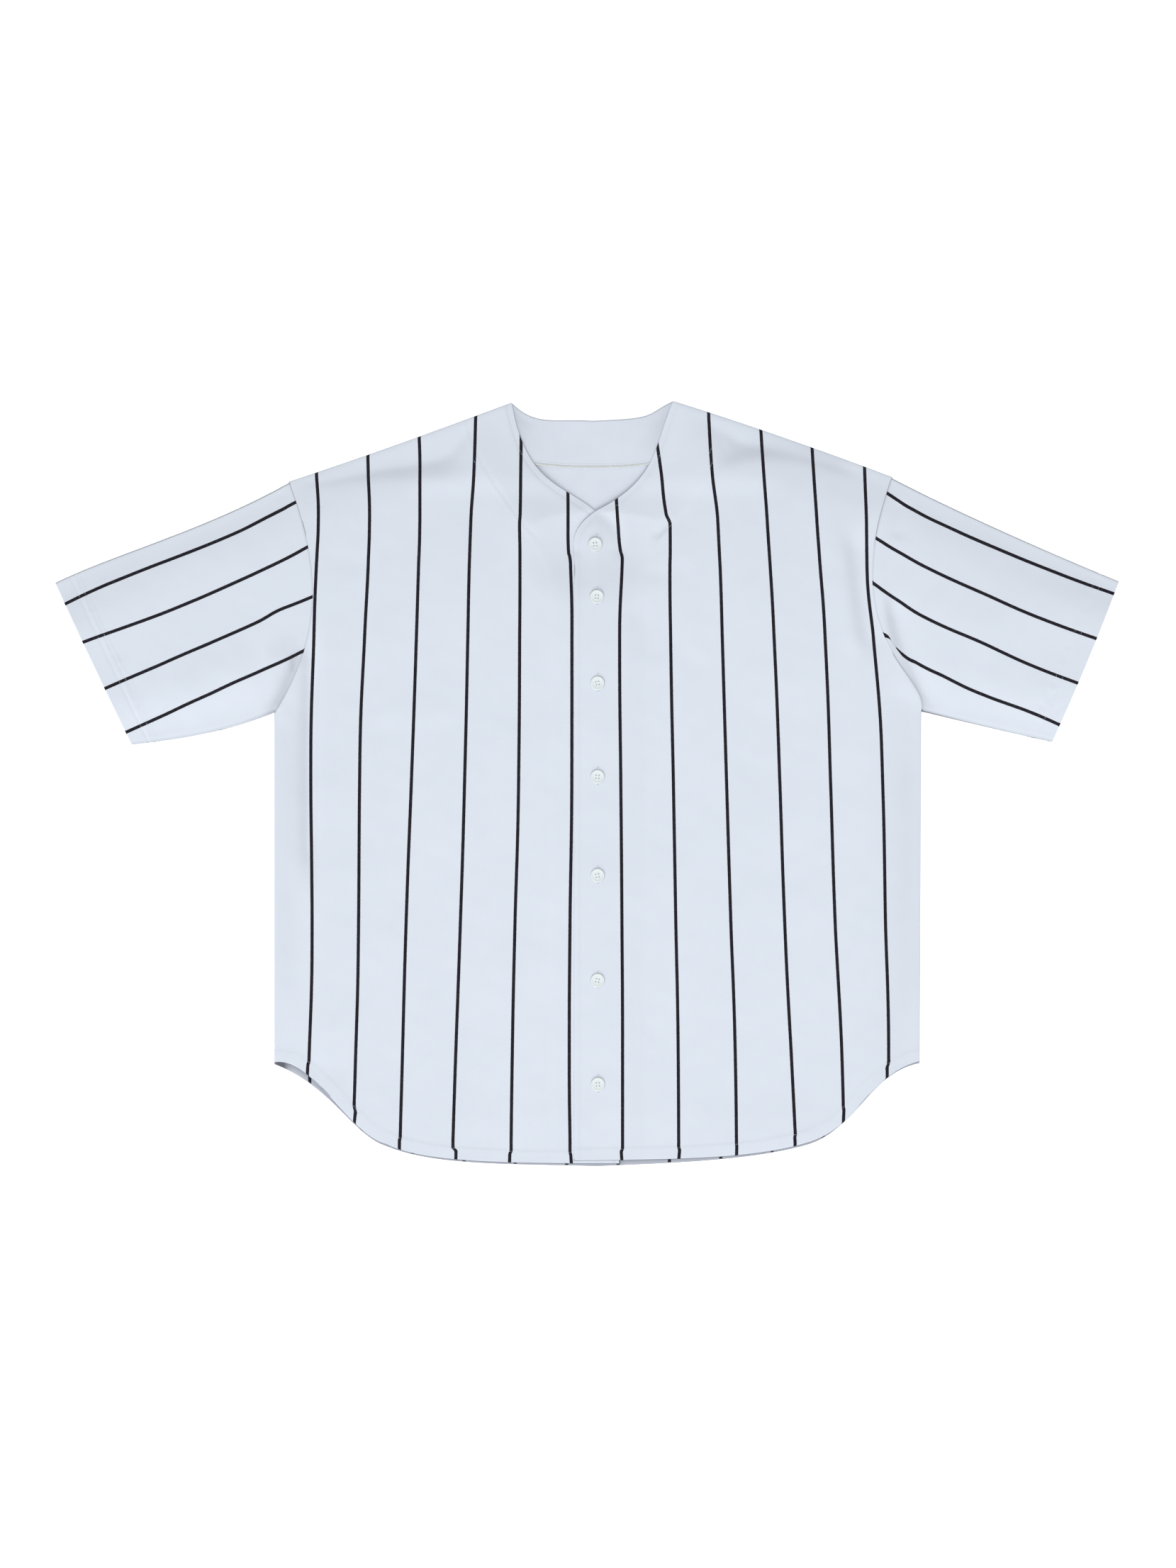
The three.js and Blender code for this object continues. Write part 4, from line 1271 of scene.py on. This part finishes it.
# %% Stitches
THREAD_RADIUS = 0.1
TWIST_GRAIN = 900
TWIST_FUZZ = 4000
TWIST_DEPTH = 0.00008
STITCH_SIDES = 6
STITCH_RINGS = [
    # share along the stitch, share of the thread's radius, and height
    (0.0, 0.5, -0.15), (0.15, 1.0, -0.04), (0.5, 1.0, 0.0), (0.85, 1.0, -0.04), (1.0, 0.5, -0.15)]


def thread_finish(name, colour, shade):
    finish = Finish(name, Roughness=0.55, Sheen_Weight=0.2)
    finish.shows(Base_Color=finish.mix(finish.noise(TWIST_GRAIN).ramp(0.3, 0.7), colour, shade))
    return finish.bump(finish.noise(TWIST_FUZZ), TWIST_DEPTH).material


THREAD_WHITE = thread_finish("white_thread", (0.73, 0.78, 0.86, 1), (0.69, 0.74, 0.82, 1))
THREAD_CREAM = thread_finish("cream_thread", (0.74, 0.76, 0.74, 1), (0.64, 0.66, 0.64, 1))


def sew(name, starts, ends, surface, finish=THREAD_WHITE, radius=THREAD_RADIUS, slot="plain_knit"):
    """Stitches from starts to ends, on a surface that gives its height at places."""
    along = ends - starts
    aside = np.stack([-along[:, 1], along[:, 0]], axis=1)
    aside /= np.linalg.norm(aside, axis=1)[:, None]
    angles = 2 * math.pi * np.arange(STITCH_SIDES) / STITCH_SIDES
    rings = []
    for share, thick, lift in STITCH_RINGS:
        where = starts + along * share
        place = where[:, None] + aside[:, None] * (radius * thick * np.cos(angles))[None, :, None]
        height = (surface(where) + lift)[:, None] + radius * thick * np.sin(angles)[None]
        rings.append(to_frame(place, height))
    points = np.stack(rings, axis=1).reshape(-1, 3)
    one = np.arange(len(STITCH_RINGS) * STITCH_SIDES).reshape(len(STITCH_RINGS), STITCH_SIDES)
    tube = strips(list(one))
    one_cap, other_cap = one[0], one[-1][::-1]
    every = (np.arange(len(starts)) * one.size)[:, None, None]
    faces = (tube[None] + every).reshape(-1, 4).tolist()
    for cap in (one_cap, other_cap):
        faces += (cap[None] + every[:, 0]).tolist()
    piece = new_piece(name, points, faces, [finish])
    return piece


def stitches_along(edge, length=3.0, pitch=3.2, trim=1.5):
    """Starts and ends of the stitches along an edge."""
    count = int((edge.length - 2 * trim) / pitch)
    first = trim + np.arange(count) * pitch
    return edge.at(first / edge.length), edge.at((first + length) / edge.length)


def sew_lines(name, edges, surface, **thread):
    pairs = [stitches_along(edge) for edge in edges]
    starts, ends = (np.concatenate(points) for points in zip(*pairs))
    return sew(name, starts, ends, surface, **thread)


print("stitches round a cuff:", len(stitches_along(EDGES["left"]["cuff"])[0]))

# %% [markdown]
# The rows of sewing that show: one round each hem, two round each cuff, one along the fronts' open
# edges, and the pair that holds the fronts' facings. The right front's placket is under the left one,
# so its row is sewn along the neckline only.

# %% Sew the jersey
FACING_SEWN_FROM = 0.012

stitch_pieces = []
for name, side in SIDES.items():
    inward = -side["sign"]
    edges = EDGES[name]
    hem_row = edges["front_hem"].beside(inward * HEM["rows"][0])
    open_edge = edges["neckline"] if name == "right" else opening(name)
    open_row = open_edge.beside(inward * OPENING["rows"][0])
    sewn = np.linspace(FACING_SEWN_FROM, FACING_STITCHED_SHARE, 40)
    facing_rows = [Edge(FRONT_FACING[name].beside(-inward * apart).at(sewn))
                   for apart in (0, FACING_STITCHES_APART)]
    cuff_rows = [edges["cuff"].beside(inward * row) for row in CUFF["rows"]]
    stitch_pieces.append(sew_lines(
        f"front_{name}_stitches", [hem_row, open_row, *facing_rows], partial(front_over, name)))
    stitch_pieces.append(sew_lines(f"sleeve_{name}_stitches", cuff_rows, partial(sleeve_over, name)))

print("stitch pieces:", [piece.name for piece in stitch_pieces])

# %% [markdown]
# The facing's lower edge is overlocked: a cream thread wraps the raw edge in slanting bars, held by a
# needle row on top and a chain along the edge. It is the thickest sewing that shows, so its three
# threads are three pieces, each as thick as it looks.

# %% The facing's overlocked edge
OVERLOCK_WIDTH = 2.5
OVERLOCK_NEEDLE_ROW = 3.9
OVERLOCK_CHAIN_ROW = 0.35
OVERLOCK_PAST_EDGE = -0.1
OVERLOCK_PITCH = 1.2
OVERLOCK_SLANT = 0.5
OVERLOCK_BARS_LEFT_OUT = 4
BAR_THREAD, NEEDLE_THREAD, CHAIN_THREAD = 0.42, 0.2, 0.35
NEEDLE_STITCH = {"length": 1.9, "pitch": 2.1, "trim": 8}
CHAIN_STITCH = {"length": 2.0, "pitch": 1.6, "trim": 8}

bars = int(FACING_BOTTOM.length / OVERLOCK_PITCH) - 2 * OVERLOCK_BARS_LEFT_OUT
at = (np.arange(bars) + OVERLOCK_BARS_LEFT_OUT) * OVERLOCK_PITCH / FACING_BOTTOM.length
slant = OVERLOCK_SLANT / FACING_BOTTOM.length
bar_starts, bar_ends = FACING_BOTTOM.beside(OVERLOCK_PAST_EDGE), FACING_BOTTOM.beside(OVERLOCK_WIDTH)
needle_row = stitches_along(FACING_BOTTOM.beside(OVERLOCK_NEEDLE_ROW), **NEEDLE_STITCH)
chain_row = stitches_along(FACING_BOTTOM.beside(OVERLOCK_CHAIN_ROW), **CHAIN_STITCH)
overlock = [
    sew("overlock_bars", bar_starts.at(at), bar_ends.at(at + slant), facing_over, THREAD_CREAM, BAR_THREAD),
    sew("overlock_needle_row", *needle_row, facing_over, THREAD_CREAM, NEEDLE_THREAD),
    sew("overlock_chain", *chain_row, facing_over, THREAD_CREAM, CHAIN_THREAD),
]
print("overlock faces:", {piece.name: len(piece.data.polygons) for piece in overlock})

# %% [markdown]
# The buttons are cast resin, half glossy and a little cloudy, with painted shade at the outer edge.
# Light goes a short way into resin, so the finish lets a little of it scatter under the surface.

# %% The buttons' resin
RESIN_WHITE = (0.755, 0.812, 0.822, 1)
RESIN_CLOUDY = (0.725, 0.782, 0.795, 1)
HOLE_DARK = (0.260, 0.270, 0.280, 1)
HOLE_PALE = (0.300, 0.310, 0.320, 1)
RESIN_DEPTH = 0.002


def resin(name, colour, cloudy):
    finish = Finish(name, Roughness=0.38, Subsurface_Weight=0.08, Specular_IOR_Level=0.45)
    finish.shader.inputs["Subsurface Radius"].default_value = (RESIN_DEPTH,) * 3
    cloud = finish.noise(260, 3).ramp(0.3, 0.7)
    clouded = finish.mix(cloud, colour, cloudy)
    # Painted shade, stored on the button's points, darkens the resin towards the painted-shade colour.
    finish.shows(Base_Color=finish.mix(finish.stored("painted_shade"), clouded, PAINTED_SHADE_COLOUR))
    return finish.bump(finish.noise(900), 0.00003).material


RESIN = resin("button_resin", RESIN_WHITE, RESIN_CLOUDY)
HOLE_SHADE = resin("button_hole", HOLE_DARK, HOLE_PALE)
print("resins:", RESIN.name, HOLE_SHADE.name)

# %% [markdown]
# A button has a rounded rim, a dished middle and four holes. Its body is turned from a profile, as on
# a lathe. The holes are cut with a boolean, which leaves sharp, clean edges. They go most of the way
# through, and their walls and bottoms have a dark finish for the shade down there.

# %% Turn a button
BUTTON_TURNS = 72
BUTTON_DISH = 1.6
RIM = [(6.1, 0), (6.6, 0.12), (6.95, 0.5), (7.1, 1.0), (7.0, 1.45), (6.7, 1.75), (6.3, 1.88)]
WELL = [(5.95, 1.9), (5.6, 1.87), (5.2, 1.8), (4.8, 1.72), (4.4, 1.65), (3.7, 1.61), (2.3, 1.6)]
HOLE_RADIUS = 0.65
HOLE_BOTTOM = 0.7
HOLE_TOP = 6
HOLE_TURNS = 20
HOLE_PITCH = 2.9


def turned_body(name, profile, turns):
    """A closed body turned about Z from a profile of radius and height, in millimetres."""
    angles = 2 * math.pi * np.arange(turns) / turns
    radius, height = (np.array(values)[:, None] for values in zip(*profile))
    ring = np.stack([radius * np.cos(angles), radius * np.sin(angles),
                     np.broadcast_to(height, (len(profile), turns))], axis=-1)
    points = np.concatenate([ring.reshape(-1, 3), [[0, 0, profile[0][1]], [0, 0, profile[-1][1]]]])
    index = np.arange(len(profile) * turns).reshape(len(profile), turns)
    faces = strips(list(index))[:, ::-1].tolist()
    below, above = len(points) - 2, len(points) - 1
    for i in range(turns):
        j = (i + 1) % turns
        faces.append([below, int(index[0][j]), int(index[0][i])])
        faces.append([above, int(index[-1][i]), int(index[-1][j])])
    mesh = bpy.data.meshes.new(name)
    mesh.from_pydata(points * MM, [], faces)
    body = bpy.data.objects.new(name, mesh)
    bpy.context.collection.objects.link(body)
    return body


def with_holes(body):
    cutters = []
    for x in (-1, 1):
        for y in (-1, 1):
            walls = [(HOLE_RADIUS, HOLE_BOTTOM), (HOLE_RADIUS, HOLE_TOP)]
            hole = turned_body("hole", walls, HOLE_TURNS)
            hole.location = (x * HOLE_PITCH / 2 * MM, y * HOLE_PITCH / 2 * MM, 0)
            cutters.append(hole)
            cut = body.modifiers.new("hole", "BOOLEAN")
            cut.operation, cut.object = "DIFFERENCE", hole
    bpy.context.view_layer.update()
    mesh = bpy.data.meshes.new_from_object(body.evaluated_get(bpy.context.evaluated_depsgraph_get()))
    for scrap in (body, *cutters):
        bpy.data.objects.remove(scrap)
    return mesh


button_mesh = with_holes(turned_body("button_body", RIM + WELL, BUTTON_TURNS))
print("button faces:", len(button_mesh.polygons))

# %% [markdown]
# The faces inside the holes get the dark finish, and the points near the outer edge get painted shade, more
# of it on the side towards the hem. All seven buttons then share the one mesh, each a little turned, as
# hands sew them. They sink slightly into the soft cloth.

# %% The buttons
HOLE_SLACK = 1.05
HOLE_MARGIN = 0.1
SHARP_EDGE = math.radians(35)
# Painted shade round the buttons' outer edge, more on the side towards the hem.
BUTTON_SHADE_FROM = 6.5
BUTTON_SHADE_TO = 6.95
BUTTON_PAINTED_SHADE = 0.32
BUTTON_PAINTED_SHADE_LOWER = 0.25
BUTTON_SEAT_GAP = -0.65
BUTTONS = [(-1.8, 605), (-0.2, 554), (0.5, 470), (0.5, 379), (0.5, 283), (0.5, 181), (0.8, 80)]
BUTTON_TILTS = [4, -7, 12, -3, 8, -10, 2]


def in_hole(place):
    from_axis = math.hypot(*[abs(abs(side) - HOLE_PITCH / 2) for side in place[:2]])
    deep = HOLE_BOTTOM - HOLE_MARGIN < place[2] < BUTTON_DISH - HOLE_MARGIN
    return from_axis < HOLE_RADIUS * HOLE_SLACK and deep


def button_painted_shade(place):
    """Shade painted on the resin at a point: only near the outer edge, and most towards the hem."""
    near_edge = smooth((math.hypot(place.x, place.y) / MM - BUTTON_SHADE_FROM) / (BUTTON_SHADE_TO - BUTTON_SHADE_FROM))
    return float(near_edge) * (BUTTON_PAINTED_SHADE - BUTTON_PAINTED_SHADE_LOWER * place.y / MM / BUTTON_SHADE_TO)


button_mesh.materials.clear()
for finish in (RESIN, HOLE_SHADE):
    button_mesh.materials.append(finish)
for face in button_mesh.polygons:
    face.material_index = int(in_hole([side / MM for side in face.center]))
button_mesh.shade_smooth()
button_mesh.set_sharp_from_angle(angle=SHARP_EDGE)
# Each point's painted shade, stored on the button mesh.
greyness = [button_painted_shade(vertex.co) for vertex in button_mesh.vertices]
button_mesh.attributes.new("painted_shade", "FLOAT", "POINT").data.foreach_set("value", greyness)
buttons = []
for i, ((x, y), tilt) in enumerate(zip(BUTTONS, BUTTON_TILTS), 1):
    button = bpy.data.objects.new(f"button_{i}_resin", button_mesh)
    bpy.context.collection.objects.link(button)
    seat = front_under("left", np.array([[x, y]]))[0] + CLOTH + BUTTON_SEAT_GAP
    button.location = to_frame(np.array([x, y], float), seat)
    button.rotation_euler.z = math.radians(tilt)
    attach(button, "root")
    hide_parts(f"button_{i}")
    buttons.append(button)
print("faces in a button's holes:", sum(face.material_index for face in button_mesh.polygons))

# %% [markdown]
# A buttonhole lies under each button: a slit edged with close bars of thread, a little longer than
# the button is wide, so that its ends peep out. It is the same `sew`, with short stitches side by side.

# %% The buttonholes
BUTTONHOLE_HALF = 8.3
BUTTONHOLE_SLIT = 0.15
BUTTONHOLE_EDGE = 1.25
BUTTONHOLE_PITCH = 0.55
BUTTONHOLE_SLANT = 0.12
BUTTONHOLE_BAR = 1.1
BUTTONHOLE_BARS_AT = (-0.5, 0, 0.5)
BUTTONHOLE_THREAD = 0.26
BUTTONHOLE_MOVE = (0.4, 0.3)
BUTTONHOLE_MOVES = {1: (1.8, 1.3)}

starts, ends = [], []
for i, place in enumerate(BUTTONS, 1):
    centre = np.array(place) + BUTTONHOLE_MOVES.get(i, BUTTONHOLE_MOVE)
    for up in np.arange(-BUTTONHOLE_HALF, BUTTONHOLE_HALF + 0.01, BUTTONHOLE_PITCH):
        for out in (-1, 1):
            starts.append(centre + (out * BUTTONHOLE_SLIT, up))
            ends.append(centre + (out * BUTTONHOLE_EDGE, up + BUTTONHOLE_SLANT))
    for end in (-1, 1):
        for across in BUTTONHOLE_BARS_AT:
            starts.append(centre + (across, end * BUTTONHOLE_HALF))
            ends.append(centre + (across, end * (BUTTONHOLE_HALF + BUTTONHOLE_BAR)))
buttonholes = sew("buttonholes", np.array(starts), np.array(ends), partial(front_over, "left"),
                  radius=BUTTONHOLE_THREAD)
print("buttonholes:", len(starts), "stitches and", len(buttonholes.data.polygons), "faces")

# %% [markdown]
# Two strands of thread cross from hole to hole in each row of holes, and hold the button on. They turn
# with the button, so their ends are turned by the same angle.

# %% The buttons' threads
BUTTON_STRANDS = (-0.16, 0.16)
BUTTON_THREAD = 0.16
BUTTON_THREAD_SUNK = 0.1

starts, ends, seats = [], [], []
for button, place, tilt in zip(buttons, BUTTONS, BUTTON_TILTS):
    angle = math.radians(tilt)
    turn = np.array([[math.cos(angle), -math.sin(angle)], [math.sin(angle), math.cos(angle)]])
    seat = button.location.z / MM
    for row in (-1, 1):
        for beside in BUTTON_STRANDS:
            reach = HOLE_PITCH / 2 - HOLE_RADIUS / 2
            starts.append(np.array(place) + turn @ np.array([-reach, row * HOLE_PITCH / 2 + beside]))
            ends.append(np.array(place) + turn @ np.array([reach, row * HOLE_PITCH / 2 + beside]))
            seats.append(seat + BUTTON_DISH - BUTTON_THREAD_SUNK)
button_threads = sew("button_threads", np.array(starts), np.array(ends),
                     lambda place: np.array(seats), radius=BUTTON_THREAD, slot="button")
print("button threads:", len(starts), "strands and", len(button_threads.data.polygons), "faces")

# %% [markdown]
# The jersey lies on a plain pale floor, far wider than the picture. A soft glow in the floor keeps it white
# under the jersey's edges, as on the photographer's white table.

# %% The floor
FLOOR_HALF = 4.0
FLOOR_DROP = 0.0005
FLOOR_GLOW = 0.5
WHITE = (1, 1, 1, 1)

floor_finish = Finish("white_floor", Roughness=0.9, Emission_Color=WHITE, Emission_Strength=FLOOR_GLOW)
grain = floor_finish.noise(3).ramp(0.3, 0.7)
floor_finish.shows(Base_Color=floor_finish.mix(grain, (0.90, 0.90, 0.90, 1), (0.88, 0.88, 0.88, 1)))
floor_mesh = bpy.data.meshes.new("floor")
floor_corners = [(-FLOOR_HALF, -FLOOR_HALF), (FLOOR_HALF, -FLOOR_HALF),
                 (FLOOR_HALF, FLOOR_HALF), (-FLOOR_HALF, FLOOR_HALF)]
floor_mesh.from_pydata([(x, y, -FLOOR_DROP) for x, y in floor_corners], [], [(0, 1, 2, 3)])
floor_mesh.materials.append(floor_finish.material)
floor = bpy.data.objects.new("floor", floor_mesh)
bpy.context.collection.objects.link(floor)
print("floor, m:", 2 * FLOOR_HALF, "square")

# %% [markdown]
# The light is soft and nearly even. An even sky gives the white of the cloth, a wide lamp overhead
# makes the middle a little brighter than the cuffs, and a broad low lamp beyond the hem gives the
# folds their faint shade.

# %% Light
SKY = 0.43
LAMPS = {
    # power, size across, and place
    "window_light": (1500.0, 9.0, (-3.0, -11.3, 5.8)),
    "overhead_light": (17.0, 1.6, (0.14, -0.1, 2.4)),
}

world = bpy.data.worlds.new("studio")
world.use_nodes = True
sky = world.node_tree.nodes["Background"]
sky.inputs["Color"].default_value = WHITE
sky.inputs["Strength"].default_value = SKY
bpy.context.scene.world = world
for name, (power, size, place) in LAMPS.items():
    light = bpy.data.lights.new(name, "AREA")
    light.energy, light.size = power, size
    lamp = bpy.data.objects.new(name, light)
    bpy.context.collection.objects.link(lamp)
    lamp.location = place
    lamp.rotation_euler = (-lamp.location).to_track_quat("-Z", "Y").to_euler()
    lamp.visible_camera = False
    height = math.degrees(math.asin(place[2] / math.dist(place, (0, 0, 0))))
    print(name, "stands", round(height), "degrees above the table")
bpy.context.scene.view_settings.view_transform = "Standard"

# %% [markdown]
# The photograph looks straight down with the neck at the top. Its frame is 1659 pixels wide and
# 2212 high, at 0.69 mm a pixel, so the camera stands far off with a long lens that takes in just that.

# %% Camera
PIXEL = 0.69 * MM
FRAME_WIDE, FRAME_HIGH = 1659, 2212
FRAME_MIDDLE = (0.001, -0.0003)
LENS = 120.0
SENSOR_HIGH = 36.0

camera_data = bpy.data.cameras.new("camera")
camera_data.sensor_fit = "VERTICAL"
camera_data.sensor_height = SENSOR_HIGH
camera_data.sensor_width = SENSOR_HIGH * FRAME_WIDE / FRAME_HIGH
camera_data.lens = LENS
camera_data.clip_end = 50
camera = bpy.data.objects.new("camera", camera_data)
bpy.context.collection.objects.link(camera)
camera.location = (*FRAME_MIDDLE, PIXEL * FRAME_HIGH * LENS / SENSOR_HIGH)
camera.rotation_euler = (0, 0, 0)
bpy.context.scene.camera = camera
print("camera height, m:", round(camera.location.z, 2))

# %% [markdown]
# Each piece of cloth is listed with the size of the flat rectangle that it was cut from, a sleeve's all
# round its tube, and with what it lies on, and the area of what shows, without the turnings, is printed as
# a share of that rectangle. Half of a closed sheet's faces look up and half look down, so half of their
# area is the cloth's.

# %% The cloth as it was cut
SIZES = {
    back: ((0.640, 0.745), ["floor"]),
    facing: ((0.262, 0.066), [back]),
    fronts["right"]: ((0.345, 0.745), [back]),
    fronts["left"]: ((0.345, 0.745), [back, fronts["right"]]),
    sleeves["right"]: ((0.500, 0.290), ["floor"]),
    sleeves["left"]: ((0.500, 0.290), ["floor"]),
}


def area_of(piece):
    return sum(face.area for face in piece.data.polygons) / 2


for piece, (flat, lies_on) in SIZES.items():
    area = area_of(piece)
    print(piece.name, "flat", flat, "area", round(area, 3), "share", round(area / (flat[0] * flat[1]), 2))
    min(area, flat[0] * flat[1])
